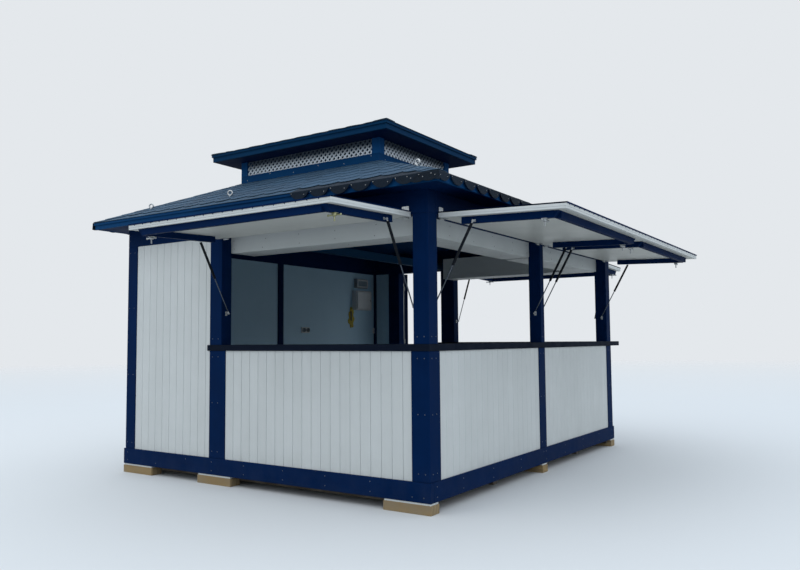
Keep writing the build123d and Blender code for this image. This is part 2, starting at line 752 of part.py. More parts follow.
def make_hatch(name, x0, x1, in0, in1, place, length):
    """Write the nodes of one hatch. in0 and in1 are the faces of the posts at its ends."""
    body, cover = hatch_panel(x0, x1, length)
    b0 = in0 + batten_inset
    b1 = in1 - batten_inset
    far = min(batten_far, length - batten_end_set)
    frame = hatch_frame(b0, b1, far)
    s0 = in0 + strut_off
    s1 = in1 - strut_off
    frame = frame + upper_bracket(s0, -1) + upper_bracket(s1, 1)
    hinge_places = (in0 + hinge_inset, in1 - hinge_inset)
    fittings = [place * tilt_pose * moving_hinge(x, hatch_gap) for x in hinge_places]
    for x in (b0 + batten_w / 2, b1 - batten_w / 2):
        fittings.append(place * tilt_pose * toggle_latch(x, far))
    save(f"{name}_hatch_fittings", *fittings)
    hinge_halves.extend(place * fixed_hinge(x, 1, hatch_plate_reach) for x in hinge_places)
    save(f"{name}_hatch_panel", place * tilt_pose * body)
    save(f"{name}_hatch_cover", place * tilt_pose * cover)
    save(f"{name}_hatch_frame", place * tilt_pose * frame)
    save(f"{name}_strut_tubes", place * strut_tube(s0), place * strut_tube(s1))
    save(f"{name}_strut_rods", place * strut_rod(s0), place * strut_rod(s1))
    feet = []
    for x, side in ((s0, -1), (s1, 1)):
        face = in0 if side < 0 else in1
        gap_x = x + side * (eye_t / 2 + eye_gap)
        lo = min(face, gap_x)
        hi = max(face, gap_x)
        foot = block(lo, hi, foot_y - foot_half, foot_y + foot_half, foot_z - foot_half, foot_z + foot_half)
        feet.append(place * foot)
    return feet


hinge_halves = []
front_place = Pos(0, front_y - axis_out, axis_z) * Rot(0, 0, 180)
right_place = Pos(right_x + axis_out, 0, axis_z) * Rot(0, 0, -90)
back_place = Pos(0, back_y + axis_out, axis_z)

near_x = right_x - post_w
feet = []
feet += make_hatch(
    "front", -(near_x - hatch_end_gap), -(front_mid_right - hatch_past_post), -near_x, -front_mid_right,
    front_place, front_hatch_len,
)
split = hatch_split_gap / 2
feet += make_hatch(
    "right_near", -(right_mid_far - split), near_in - hatch_end_gap, -upper_mid_near, near_in,
    right_place, right_hatch_len,
)
feet += make_hatch(
    "right_far", -(near_in + far_hatch_lap), -(right_mid_far + split), -near_in, -right_mid_far,
    right_place, right_hatch_len,
)
feet += make_hatch(
    "back", back_mid_right - hatch_past_post, near_x - hatch_end_gap, back_mid_right, near_x,
    back_place, axis_z - counter_top_z - cover_lip - shelf_gap,
)
save("strut_feet", *feet)

# Door leaf, drawn shut against the hinge axis and turned out to its rest angle
leaf_y1 = back_y - leaf_set
leaf_y0 = leaf_y1 - leaf_t
door_axis_x = door_left + leaf_gap
door_axis_y = back_y + door_axis_out
leaf_z = (sill_top + leaf_foot_gap, beam_bottom - leaf_gap)
leaf = block(door_left + leaf_hinge_gap, door_right - leaf_lock_gap, leaf_y0, leaf_y1, *leaf_z)
turn = Pos(door_axis_x, door_axis_y, 0) * Rot(0, 0, leaf_open) * Pos(-door_axis_x, -door_axis_y, 0)
save("door_leaf", turn * leaf)
door_lift = door_axis_out + leaf_set
door_moving = []
for z in door_hinge_heights:
    at_axis = Pos(door_axis_x, door_axis_y, z)
    door_moving.append(turn * at_axis * Rot(0, 90, 0) * Rot(90, 0, 0) * moving_hinge(0, door_lift))
    hinge_halves.append(at_axis * Rot(0, 90, 0) * fixed_hinge(0, -1, plate_reach))
save("door_hinges", *door_moving)
save("hinge_halves", *hinge_halves)
knob_x = door_right - knob_from_edge
knob_z = floor_top + knob_height
knobs = []
for knob_y in (leaf_y1 + knob_len / 2, leaf_y0 - knob_len / 2):
    knobs.append(turn * Pos(knob_x, knob_y, knob_z) * Rot(90, 0, 0) * prism(knob_sides, knob_d / 2, knob_len))
save("door_knobs", *knobs)
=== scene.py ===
"""Looks of a street kiosk: navy timber frame, white boards, raised hatches, shingle roof and lantern."""

import logging
import math
import random
from collections.abc import Callable
from dataclasses import dataclass
from enum import Enum
from itertools import product

import bpy
from mathutils import Matrix, Vector


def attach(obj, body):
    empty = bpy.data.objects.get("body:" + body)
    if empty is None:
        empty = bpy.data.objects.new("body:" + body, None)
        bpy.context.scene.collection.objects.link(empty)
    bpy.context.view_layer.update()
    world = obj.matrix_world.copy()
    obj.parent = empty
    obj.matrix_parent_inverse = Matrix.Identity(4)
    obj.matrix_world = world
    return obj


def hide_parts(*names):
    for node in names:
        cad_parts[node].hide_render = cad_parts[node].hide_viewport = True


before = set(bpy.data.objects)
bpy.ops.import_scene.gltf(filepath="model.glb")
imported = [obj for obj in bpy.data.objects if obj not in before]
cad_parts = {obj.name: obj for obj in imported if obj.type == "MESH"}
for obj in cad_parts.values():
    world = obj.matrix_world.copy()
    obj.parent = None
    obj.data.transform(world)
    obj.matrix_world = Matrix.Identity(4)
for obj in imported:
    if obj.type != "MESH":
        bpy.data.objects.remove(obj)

logging.basicConfig(level=logging.INFO, format="%(message)s")
log = logging.getLogger("kiosk")

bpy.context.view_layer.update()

Piece = bpy.types.Object
Tree = bpy.types.NodeTree
Socket = bpy.types.NodeSocket
Point = tuple[float, float, float] | Vector
Span = tuple[float, float]
Row = tuple[float, ...]
Layer = tuple[Socket, float, float, float | Socket, str]


# Sizes, in metres


@dataclass(frozen=True)
class Plan:
    """Sizes that several sub-assemblies share."""

    half_w: float = 1.75
    half_d: float = 2.1
    sill_bottom: float = 0.085
    sill_top: float = 0.23
    sill_proud: float = 0.01
    sill_t: float = 0.045
    floor_top: float = 0.2
    floor_t: float = 0.025
    counter_top: float = 1.235
    counter_t: float = 0.052
    post_w: float = 0.134
    stile_w: float = 0.024
    mid_post_w: float = 0.15
    upper_mid_w: float = 0.085
    mid_stile_w: float = 0.048
    stud_w: float = 0.09
    front_mid: float = -0.567
    back_mid: float = -0.329
    back_mid_w: float = 0.201
    door_post: float = -1.391
    door_post_w: float = 0.176
    beam_bottom: float = 2.21
    beam_t: float = 0.11
    header_bottom: float = 2.066
    header_top: float = 2.33
    header_reach: float = 0.4
    hinge_out: float = 0.008
    hatch_axis: float = 2.179
    wall_recess: float = 0.008
    wall_t: float = 0.096
    board: float = 0.099
    eave_reach: float = 0.237
    eave_top: float = 2.445
    lantern_half_w: float = 0.855
    lantern_half_d: float = 0.621
    lantern_y: float = -0.818
    lantern_base: float = 2.846
    rail_top: float = 2.93
    upper_eave: float = 3.139
    upper_half_w: float = 1.072
    upper_half_d: float = 0.821
    upper_slope: float = 0.30

    @property
    def counter_bottom(self) -> float:
        """Height of the underside of the counters."""
        return self.counter_top - self.counter_t

    @property
    def corner_low(self) -> float:
        """Width of a corner post below the counter."""
        return self.post_w + self.stile_w


PLAN = Plan()


def shift(x: float, y: float = 0.0, z: float = 0.0) -> Matrix:
    """Matrix of a shift."""
    return Matrix.Translation((x, y, z))


def turned(degrees: float, axis: str) -> Matrix:
    """Matrix of a turn about an axis."""
    return Matrix.Rotation(math.radians(degrees), 4, axis)


class Side(Enum):
    """A side of the kiosk, by the turn about Z that brings the front to it."""

    FRONT = 0.0
    RIGHT = 90.0
    BACK = 180.0
    LEFT = -90.0

    def place(self, x: float, y: float) -> Matrix:
        """Matrix from side axes (X along, Y inward, Z up) with the origin at x, y."""
        return shift(x, y) @ turned(self.value, "Z")


class Grain(Enum):
    """Direction of the grain or the brush, by the index of the axis that it follows."""

    X = 0
    Y = 1
    Z = 2

    def scale(self, across: float, along: float) -> Point:
        """Scale of a pattern that is drawn out along this direction."""
        return tuple(along if axis == self.value else across for axis in range(3))


# Colour and nodes


def linear(text: str) -> tuple[float, float, float, float]:
    """Turn an sRGB hex colour into linear values.

    Args:
        text: Six hex digits.

    Returns:
        Red, green, blue and alpha.
    """
    parts = [int(text[i : i + 2], 16) / 255 for i in (0, 2, 4)]
    return *(p / 12.92 if p <= 0.04045 else ((p + 0.055) / 1.055) ** 2.4 for p in parts), 1.0


def add(tree: Tree, kind: str, inputs: dict | None = None, **settings) -> bpy.types.Node:
    """Add one shader node.

    Args:
        tree: Node tree.
        kind: Node type without the ShaderNode prefix.
        inputs: Constants, or output sockets to link, by input socket name or index.
        settings: Properties of the node.

    Returns:
        The new node.
    """
    node = tree.nodes.new("ShaderNode" + kind)
    for key, value in settings.items():
        setattr(node, key, value)
    for key, value in (inputs or {}).items():
        if isinstance(value, Socket):
            tree.links.new(value, node.inputs[key])
        else:
            node.inputs[key].default_value = value
    return node


@dataclass(frozen=True)
class Finish:
    """A surface finish. Each kind gives the sockets of its shader."""

    name: str
    colour: str

    def material(self) -> bpy.types.Material:
        """The material of this finish, made once.

        Returns:
            The material, the same one at every call.
        """
        found = bpy.data.materials.get(self.name)
        if found:
            return found
        made = bpy.data.materials.new(self.name)
        made.use_nodes = True
        made.diffuse_color = linear(self.colour)
        tree = made.node_tree
        tree.nodes.clear()
        shader = add(tree, "BsdfPrincipled", self.sockets(tree))
        add(tree, "OutputMaterial", {"Surface": shader.outputs[0]})
        return made

    def sockets(self, tree: Tree) -> dict:
        """Constants and links of the shader, by socket name. Each kind has its own."""
        raise NotImplementedError

    def pattern(self, tree: Tree, scale: Point | float, detail: float = 3.0, rough: float = 0.55) -> Socket:
        """An uneven pattern in object axes.

        Args:
            tree: Node tree.
            scale: Cycles per metre, along each axis or the same along all.
            detail: Octaves.
            rough: Share of the fine octaves.

        Returns:
            Output socket of a value from 0 to 1.
        """
        sizes = scale if isinstance(scale, tuple) else (scale,) * 3
        place = add(tree, "TexCoord").outputs["Object"]
        turn = add(tree, "Mapping", {"Scale": sizes, "Vector": place}).outputs[0]
        inputs = {"Scale": 1.0, "Detail": detail, "Roughness": rough, "Vector": turn}
        return add(tree, "TexNoise", inputs).outputs[0]

    def tone(self, tree: Tree) -> Socket:
        """Output socket of the number that tells one board or tab from the next."""
        return add(tree, "Attribute", attribute_name="tone").outputs["Fac"]

    def tinted(self, tree: Tree, colour: str | Socket, *layers: Layer) -> Socket:
        """Lay tints over a colour.

        Args:
            tree: Node tree.
            colour: Hex colour or output socket of what lies below.
            layers: For each tint its pattern, the value where it begins, the value where it is full,
                its share there, which may be an output socket too, and its hex colour.

        Returns:
            Output socket of the colour.
        """
        below = linear(colour) if isinstance(colour, str) else colour
        for pattern, low, high, share, tint in layers:
            amount = add(tree, "MapRange", {0: pattern, 1: low, 2: high, 3: 0.0, 4: share}).outputs[0]
            below = add(tree, "Mix", {0: amount, 6: below, 7: linear(tint)}, data_type="RGBA").outputs[2]
        return below

    def relief(self, tree: Tree, heights: tuple[Socket, ...], depth: float, strength: float) -> Socket:
        """Bumps from a pattern, or from half of one on top of another.

        Args:
            tree: Node tree.
            heights: Output socket of the pattern, or of the halved one and the other.
            depth: Height in metres of a value of 1.
            strength: Strength of the bumps.

        Returns:
            Output socket of the normal.
        """
        height = heights[0]
        if len(heights) > 1:
            inputs = {0: height, 1: 0.5, 2: heights[1]}
            height = add(tree, "Math", inputs, operation="MULTIPLY_ADD").outputs[0]
        return add(tree, "Bump", {"Strength": strength, "Distance": depth, "Height": height}).outputs[0]


@dataclass(frozen=True)
class BrushedPaint(Finish):
    """Alkyd paint brushed on planed timber: even colour, fine strokes along the board, dust near the ground.

    Strokes are 3 mm apart on the real boards; the pattern is stretched along the grain to show them.
    """

    thin: str = "FFFFFF"
    grain: Grain = Grain.Z
    roughness: float = 0.62
    gloss: float = 0.06
    shine: str = "2E6AC8"
    stroke_mm: float = 3.0
    patch_mm: float = 320.0
    thin_share: float = 0.35
    board_share: float = 0.25
    dust: str = "8F8C84"
    dust_top: float = 0.38
    dust_full: float = 0.09
    dust_share: float = 0.03
    depth_mm: float = 0.35
    # Painted shade under an eave, darkening upwards: its colour, the height where it begins, the height where
    # it is full, and its share there.
    painted_eave_shade: str = ""
    painted_eave_shade_from: float = 0.0
    painted_eave_shade_to: float = 0.0
    painted_eave_shade_share: float = 0.92

    def sockets(self, tree: Tree) -> dict:
        """Strokes, patches, a tone for each board, and dust; where asked, painted shade that darkens the
        piece upwards, for the shade under an eave.

        Args:
            tree: Node tree of the material.

        Returns:
            Constants and links of the shader, by socket name.
        """
        across = 1000 / self.stroke_mm
        strokes = self.pattern(tree, self.grain.scale(across, across / 60), 2.0)
        ripple = self.pattern(tree, self.grain.scale(across / 9, across / 400))
        patch = self.pattern(tree, 1000 / self.patch_mm, 4.0, 0.6)
        place = add(tree, "TexCoord").outputs["Object"]
        height = add(tree, "SeparateXYZ", {0: place}).outputs[2]
        low = {0: height, 1: self.dust_top, 2: self.dust_full, 4: self.dust_share}
        dusty = add(tree, "MapRange", low).outputs[0]
        cloud = self.pattern(tree, (9.0, 9.0, 5.0), 5.0, 0.65)
        layers = [
            (patch, 0.38, 0.72, self.thin_share, self.thin),
            (ripple, 0.3, 0.8, self.thin_share * 0.6, self.thin),
            (self.tone(tree), 0.0, 1.0, self.board_share, self.thin),
            (cloud, 0.35, 0.7, dusty, self.dust),
        ]
        # Painted shade: the colour darkens upwards between two heights, for the shade under an eave.
        if self.painted_eave_shade:
            layers.append((height, self.painted_eave_shade_from, self.painted_eave_shade_to, self.painted_eave_shade_share, self.painted_eave_shade))
        gloss = {0: patch, 1: 0.3, 2: 0.75, 3: self.roughness - 0.06, 4: self.roughness + 0.1}
        return {
            "Base Color": self.tinted(tree, self.colour, *layers),
            "Roughness": add(tree, "MapRange", gloss).outputs[0],
            "Specular IOR Level": self.gloss,
            "Specular Tint": linear(self.shine),
            "Normal": self.relief(tree, (strokes, ripple), self.depth_mm / 1000, 0.6),
        }


@dataclass(frozen=True)
class SawnTimber(Finish):
    """Rough sawn pine: growth rings at the ends, long grain on the sides, a rough sawn face.

    Growth rings are 7 mm apart, the sawn face is rough at 4 mm.
    """

    late: str = "8C6A3C"
    weathered: str = "8B857A"
    grain: Grain = Grain.X
    ring_mm: float = 7.0
    saw_mm: float = 4.0
    roughness: float = 0.8

    def sockets(self, tree: Tree) -> dict:
        """Rings round an axis outside the piece, bent by a pattern, under fibres and grey weathering.

        Args:
            tree: Node tree of the material.

        Returns:
            Constants and links of the shader, by socket name.
        """
        place = add(tree, "TexCoord").outputs["Object"]
        bent = self.pattern(tree, self.grain.scale(14.0, 0.7))
        off = {"Scale": self.grain.scale(1.0, 0.05), "Location": (0.03, 0.05, 0.11), "Vector": place}
        moved = add(tree, "Mapping", off).outputs[0]
        wobble = add(tree, "VectorMath", {0: bent, 1: (0.05,) * 3}, operation="MULTIPLY").outputs[0]
        line = add(tree, "VectorMath", {0: moved, 1: wobble}, operation="ADD").outputs[0]
        waves = {"Scale": 1000 / self.ring_mm / 20, "Distortion": 2.5, "Detail": 3.0, "Detail Scale": 1.6}
        rings = add(
            tree,
            "TexWave",
            {**waves, "Vector": line},
            wave_type="RINGS",
            rings_direction=self.grain.name,
            wave_profile="SAW",
        ).outputs["Fac"]
        fine = self.pattern(tree, self.grain.scale(900.0, 25.0), 2.0)
        marks = self.pattern(tree, 1000 / self.saw_mm, 1.0)
        colour = self.tinted(
            tree,
            self.colour,
            (rings, 0.1, 1.0, 0.7, self.late),
            (fine, 0.35, 0.75, 0.3, self.late),
            (self.pattern(tree, 6.0, 4.0), 0.4, 0.75, 0.45, self.weathered),
        )
        normal = self.relief(tree, (marks, fine), 0.0006, 0.8)
        return {"Base Color": colour, "Roughness": self.roughness, "Normal": normal}


@dataclass(frozen=True)
class StainedBoard(Finish):
    """Dark stained and lacquered timber board: grain in fine lighter lines, and a lacquer's soft sheen."""

    light: str = "1B2331"
    grain: Grain = Grain.X
    roughness: float = 0.6
    grain_mm: float = 2.5
    gloss: float = 0.06
    shine: str = "6C8CC0"

    def sockets(self, tree: Tree) -> dict:
        """Long grain lines, a tone for each board, and dulled patches.

        Args:
            tree: Node tree of the material.

        Returns:
            Constants and links of the shader, by socket name.
        """
        across = 1000 / self.grain_mm
        lines = self.pattern(tree, self.grain.scale(across, across / 70), 4.0, 0.6)
        bands = self.pattern(tree, self.grain.scale(18.0, 0.8))
        rough = self.roughness
        dull = {0: self.pattern(tree, 7.0, 4.0), 1: 0.3, 2: 0.75, 3: rough - 0.08, 4: rough + 0.16}
        colour = self.tinted(
            tree,
            self.colour,
            (lines, 0.45, 0.8, 0.7, self.light),
            (bands, 0.4, 0.75, 0.45, self.light),
            (self.tone(tree), 0.0, 1.0, 0.5, self.light),
        )
        return {
            "Base Color": colour,
            "Roughness": add(tree, "MapRange", dull).outputs[0],
            "Specular IOR Level": self.gloss,
            "Specular Tint": linear(self.shine),
            "Normal": self.relief(tree, (lines,), 0.0003, 0.6),
        }


@dataclass(frozen=True)
class MineralShingle(Finish):
    """Bitumen shingle with slate granules: matt, speckled, each tab a little lighter or darker.

    Granules are 1 to 2 mm; the speckle is drawn at 4 mm and 12 mm, as coarse as it needs to show.
    """

    pale: str = "38566C"
    dark: str = "0A1824"
    speck_mm: float = 4.0
    sheen: float = 0.3

    def sockets(self, tree: Tree) -> dict:
        """Granules in three tones over a tone for each tab, and pale weather stains.

        Args:
            tree: Node tree of the material.

        Returns:
            Constants and links of the shader, by socket name.
        """
        fine = self.pattern(tree, 1000 / self.speck_mm, 2.0, 0.7)
        coarse = self.pattern(tree, 1000 / self.speck_mm / 3, 3.0, 0.65)
        colour = self.tinted(
            tree,
            self.colour,
            (self.tone(tree), 0.0, 1.0, 0.8, self.dark),
            (fine, 0.52, 0.68, 0.75, self.pale),
            (coarse, 0.5, 0.7, 0.5, self.dark),
            (self.pattern(tree, 2.2, 4.0), 0.45, 0.75, 0.14, self.pale),
        )
        return {
            "Base Color": colour,
            "Roughness": 0.75,
            "Specular IOR Level": 0.2,
            "Sheen Weight": self.sheen,
            "Sheen Roughness": 0.5,
            "Sheen Tint": linear("7FA4C8"),
            "Normal": self.relief(tree, (fine, coarse), 0.0016, 0.9),
        }


@dataclass(frozen=True)
class PlatedSteel(Finish):
    """Steel with an electroplated skin: bright, faintly mottled, duller where it has been handled."""

    stain: str = "8A8468"
    roughness: float = 0.3
    stain_share: float = 0.25

    def sockets(self, tree: Tree) -> dict:
        """Mottled colour and roughness, with a fine grain of 1.4 mm.

        Args:
            tree: Node tree of the material.

        Returns:
            Constants and links of the shader, by socket name.
        """
        mottle = self.pattern(tree, 90.0, 4.0, 0.6)
        worn = {0: mottle, 1: 0.3, 2: 0.8, 3: self.roughness - 0.08, 4: self.roughness + 0.15}
        return {
            "Base Color": self.tinted(tree, self.colour, (mottle, 0.45, 0.75, self.stain_share, self.stain)),
            "Metallic": 1.0,
            "Roughness": add(tree, "MapRange", worn).outputs[0],
            "Normal": self.relief(tree, (self.pattern(tree, 700.0, 2.0),), 0.00008, 0.5),
        }


@dataclass(frozen=True)
class Enamel(Finish):
    """Stoved enamel or moulded plastic: smooth, even, with a faint orange peel of 2 mm and a film of dust."""

    roughness: float = 0.3
    coat: float = 0.3
    gloss: float = 0.5
    dust: str = "9A978F"
    dust_share: float = 0.12

    def sockets(self, tree: Tree) -> dict:
        """Even colour with dust in patches.

        Args:
            tree: Node tree of the material.

        Returns:
            Constants and links of the shader, by socket name.
        """
        cloud = self.pattern(tree, 25.0, 4.0, 0.6)
        film = {0: cloud, 1: 0.3, 2: 0.75, 3: self.roughness, 4: self.roughness + 0.18}
        return {
            "Base Color": self.tinted(tree, self.colour, (cloud, 0.42, 0.75, self.dust_share, self.dust)),
            "Roughness": add(tree, "MapRange", film).outputs[0],
            "Coat Weight": self.coat,
            "Specular IOR Level": self.gloss,
            "Normal": self.relief(tree, (self.pattern(tree, 450.0, 1.0),), 0.00006, 0.4),
        }


@dataclass(frozen=True)
class WindowPane(Finish):
    """Clear acrylic of a meter window: smooth and glossy with a grey tint."""

    haze: str = "AEB9C0"

    def sockets(self, tree: Tree) -> dict:
        """Tinted gloss with a faint haze."""
        tone = self.tinted(tree, self.colour, (self.pattern(tree, 40.0), 0.4, 0.8, 0.3, self.haze))
        return {"Base Color": tone, "Roughness": 0.08, "IOR": 1.49, "Coat Weight": 0.6}


NAVY, NAVY_THIN = "061F44", "0A2A58"
WHITE, WHITE_THIN = "D6DBDC", "C6CBCB"
CLEAR = "FFFFFF"

navy_up = BrushedPaint("navy_paint_upright", NAVY, NAVY_THIN, Grain.Z)
navy_x = BrushedPaint("navy_paint_along_x", NAVY, NAVY_THIN, Grain.X)
navy_y = BrushedPaint("navy_paint_along_y", NAVY, NAVY_THIN, Grain.Y)
# Painted sky light: lighter, more teal copies of the navy paint for the parts high up that face the sky.
# These are the fascia, the lower roof slabs, and the lantern rails and posts.
navy_sky_lit_x = BrushedPaint("navy_painted_sky_light_along_x", "0F3B66", "184C7A", Grain.X)
navy_sky_lit_up = BrushedPaint("navy_painted_sky_light_upright", "174A7C", "1F5A92", Grain.Z)
# Painted sky light, weaker: a lighter, more teal copy of the navy paint for the upper roof and its fascia,
# between the plain navy and the copies above.
navy_dim_sky_lit_x = BrushedPaint("navy_painted_dim_sky_light_along_x", "0B3050", "124062", Grain.X)
# Painted light: a lighter copy of the navy paint for members inside the room, for light that lifts their
# shade.
navy_room_painted_light_y = BrushedPaint("navy_paint_with_painted_room_light_along_y", "1E4668", "28547A", Grain.Y)
white_up = BrushedPaint("white_paint_boards", WHITE, WHITE_THIN, Grain.Z, 0.38, 0.2, CLEAR, dust_share=0.3)
white_x = BrushedPaint("white_paint_along_x", WHITE, WHITE_THIN, Grain.X, 0.4, 0.2, CLEAR)
white_y = BrushedPaint("white_paint_along_y", WHITE, WHITE_THIN, Grain.Y, 0.4, 0.2, CLEAR)
# Painted light and shade: the lattice white is whiter than the walls' white for the sun on its lower rows.
# From 45 to 105 mm above the rail it darkens to a dark blue-grey, for the shade of the upper eave.
lattice_white_painted_light = BrushedPaint(
    "lattice_white_paint_with_painted_light_and_shade",
    "EEF6FD",
    "DEE8F2",
    Grain.Z,
    0.4,
    0.2,
    CLEAR,
    painted_eave_shade="22384A",
    painted_eave_shade_from=PLAN.rail_top + 0.045,
    painted_eave_shade_to=PLAN.rail_top + 0.105,
)
# Painted reflection: the pale lining is tinted blue for the light of the navy room bounced onto it.
lining = BrushedPaint("lining_sheet_with_painted_navy_bounce", "B0D2E6", "A0C3D8", Grain.Z, 0.4, 0.2, CLEAR, 6.0, thin_share=0.2)
hatch_sheet = BrushedPaint(
    "pale_hatch_sheet", "D4D6D2", "C6C9C6", Grain.X, 0.35, 0.2, CLEAR, 6.0, thin_share=0.25
)
pine = SawnTimber("sawn_pine_block", "A38C63", "735D3E")
# Painted shade: the bearers' pine is darkened for the deep shade under the floor.
bearer_pine_painted_shade = SawnTimber("sawn_pine_bearer_with_painted_shade", "4A4034", "332B22")
counter_x = StainedBoard("dark_counter_along_x", "111826")
counter_y = StainedBoard("dark_counter_along_y", "111826", grain=Grain.Y)
floor_board = StainedBoard("brown_floor_board", "97866F", "AE9D86", Grain.X, 0.6)
shingle = MineralShingle("slate_granule_shingle", "203C52", "496A84", "0C1C2A")
# Painted shade: a darker copy of the slope shingle for the tabs that hang upright over the fascia, which get
# less sky light than the slopes.
eave_shingle_painted_shade = MineralShingle("eave_strip_shingle_with_painted_shade", "0C1B2A", "182E40", "060F18", sheen=0.03)
zinc = PlatedSteel("zinc_plated_steel", "BFC3C6")
yellow_zinc = PlatedSteel("yellow_passivated_zinc", "B4B48A", "C9CCC8", 0.34, 0.5)
chrome = PlatedSteel("chrome_plated_rod", "59616C", "454C56", 0.2, 0.2)
screw_steel = PlatedSteel("darkened_screw_steel", "7C8188", "4B4F55", 0.4, 0.4)
# Dark enamel of the header screws; on the socket holes and the cable slot it is painted shade.
dark_screw_and_hole_shade = Enamel("dark_screw_and_painted_hole_shade", "23262B", 0.5, 0.0)
black_enamel = Enamel("black_enamel_tube", "0B121C", 0.42, 0.0, 0.12, dust_share=0.03)
pale_plastic = Enamel("pale_moulded_plastic", "C9CFD2", 0.35, 0.2)
grey_plastic = Enamel("grey_moulded_plastic", "7E8890", 0.4, 0.1)
pane = WindowPane("clear_meter_window", "8394A0")
foam = Enamel("cured_yellow_foam", "B7A74A", 0.7, 0.0, 0.2, "8E8440", 0.6)


# Making meshes


def clear() -> None:
    """Deselect every object."""
    bpy.ops.object.select_all(action="DESELECT")


def take(obj: Piece) -> None:
    """Make obj the only selected and the active object.

    Args:
        obj: Piece to select.
    """
    clear()
    obj.select_set(True)
    bpy.context.view_layer.objects.active = obj


def edit(obj: Piece) -> None:
    """Enter edit mode with all of obj selected.

    Args:
        obj: Piece to edit.
    """
    take(obj)
    bpy.ops.object.mode_set(mode="EDIT")
    bpy.ops.mesh.select_all(action="SELECT")


def done() -> None:
    """Back to object mode."""
    bpy.ops.object.mode_set(mode="OBJECT")


def settle(name: str) -> Piece:
    """Name the new primitive and put its place into its mesh.

    Args:
        name: Name of the object.

    Returns:
        The object, at the origin.
    """
    obj = bpy.context.object
    obj.name = name
    bpy.ops.object.transform_apply(location=True, rotation=True, scale=True)
    return obj


def pick(obj: Piece, kind: str, test: Callable) -> None:
    """Enter edit mode with some faces, edges or vertices selected.

    Args:
        obj: The object.
        kind: FACE, EDGE or VERT.
        test: Takes a face, edge or vertex and says if it is wanted.
    """
    take(obj)
    mesh = obj.data
    for group in (mesh.vertices, mesh.edges, mesh.polygons):
        group.foreach_set("select", [False] * len(group))
    bpy.ops.object.mode_set(mode="EDIT")
    bpy.ops.mesh.select_mode(type=kind)
    bpy.ops.mesh.select_all(action="DESELECT")
    done()
    for item in {"FACE": mesh.polygons, "EDGE": mesh.edges, "VERT": mesh.vertices}[kind]:
        item.select = test(item)
    bpy.ops.object.mode_set(mode="EDIT")


def recess(obj: Piece, test: Callable, insets: Row, sink: Point) -> None:
    """Inset faces once or more and move the innermost.

    Args:
        obj: The object.
        test: Takes a face and says if it is wanted.
        insets: Width of each inset.
        sink: Where the innermost goes.
    """
    pick(obj, "FACE", test)
    for inset in insets:
        bpy.ops.mesh.inset(thickness=inset, depth=0)
    bpy.ops.transform.translate(value=sink)
    done()


def chamfer(obj: Piece, axis: Grain, width: float, steps: int = 1, only: Callable | None = None) -> None:
    """Bevel the edges of a box that run along one axis.

    Args:
        obj: The box.
        axis: Direction of the edges.
        width: Width of the bevel.
        steps: Steps of the bevel.
        only: Takes an end of an edge and says if the edge is wanted.
    """
    i = axis.value

    def wanted(edge: bpy.types.MeshEdge) -> bool:
        """Whether this edge is bevelled."""
        a, b = (obj.data.vertices[end].co for end in edge.vertices)
        return abs(a[i] - b[i]) > 1e-3 and (only is None or only(a))

    pick(obj, "EDGE", wanted)
    bpy.ops.mesh.bevel(offset=width, segments=steps, affect="EDGES")
    done()


def modify(obj: Piece, kind: str, **settings) -> None:
    """Add a modifier and apply it.

    Args:
        obj: The object.
        kind: Kind of the modifier.
        settings: Properties of the modifier.
    """
    take(obj)
    made = obj.modifiers.new(kind.lower(), kind)
    for key, value in settings.items():
        setattr(made, key, value)
    bpy.ops.object.modifier_apply(modifier=made.name)


def block(name: str, corner: Point, other: Point, ease: float = 0.003, segments: int = 2) -> Piece:
    """A board or block with eased edges.

    Args:
        name: Name of the object.
        corner: A corner.
        other: The corner opposite.
        ease: Width of the eased edges.
        segments: Steps of the ease.

    Returns:
        The object.
    """
    clear()
    low, high = Vector(map(min, corner, other)), Vector(map(max, corner, other))
    bpy.ops.mesh.primitive_cube_add(size=1, location=(low + high) / 2, scale=high - low)
    obj = settle(name)
    if ease:
        edit(obj)
        bpy.ops.mesh.bevel(offset=ease, segments=segments, affect="EDGES")
        done()
    return obj


def plate(name: str, corner: Point, other: Point, axis: Grain, radius: float, steps: int) -> Piece:
    """A plate with rounded corners.

    Args:
        name: Name of the object.
        corner: A corner.
        other: The corner opposite.
        axis: Axis out of the plate.
        radius: Radius of its corners.
        steps: Steps of a corner.

    Returns:
        The plate.
    """
    obj = block(name, corner, other, 0)
    chamfer(obj, axis, radius, steps)
    return obj


def flat(name: str, wide: float, length: float) -> Piece:
    """A flat strip up the Y axis from 0, its middle at X 0.

    Args:
        name: Name of the object.
        wide: Width.
        length: Length.

    Returns:
        The strip.
    """
    clear()
    bpy.ops.mesh.primitive_plane_add(size=1, location=(0, length / 2, 0))
    bpy.ops.transform.resize(value=(wide, length, 1))
    return settle(name)


def rod(name: str, start: Point, end: Point, radius: float, sides: int = 24, ease: float = 0.0) -> Piece:
    """A round bar between two points.

    Args:
        name: Name of the object.
        start: Middle of one end.
        end: Middle of the other end.
        radius: Radius.
        sides: Sides of the section.
        ease: Width of the eased ends.

    Returns:
        The bar.
    """
    clear()
    start, end = Vector(start), Vector(end)
    along = end - start
    bpy.ops.mesh.primitive_cylinder_add(
        vertices=sides,
        radius=radius,
        depth=along.length,
        location=(start + end) / 2,
        rotation=along.to_track_quat("Z", "Y").to_euler(),
    )
    obj = settle(name)
    if ease:
        modify(obj, "BEVEL", width=ease, segments=2, limit_method="ANGLE", angle_limit=math.radians(60))
    take(obj)
    bpy.ops.object.shade_smooth_by_angle(angle=math.radians(35))
    return obj


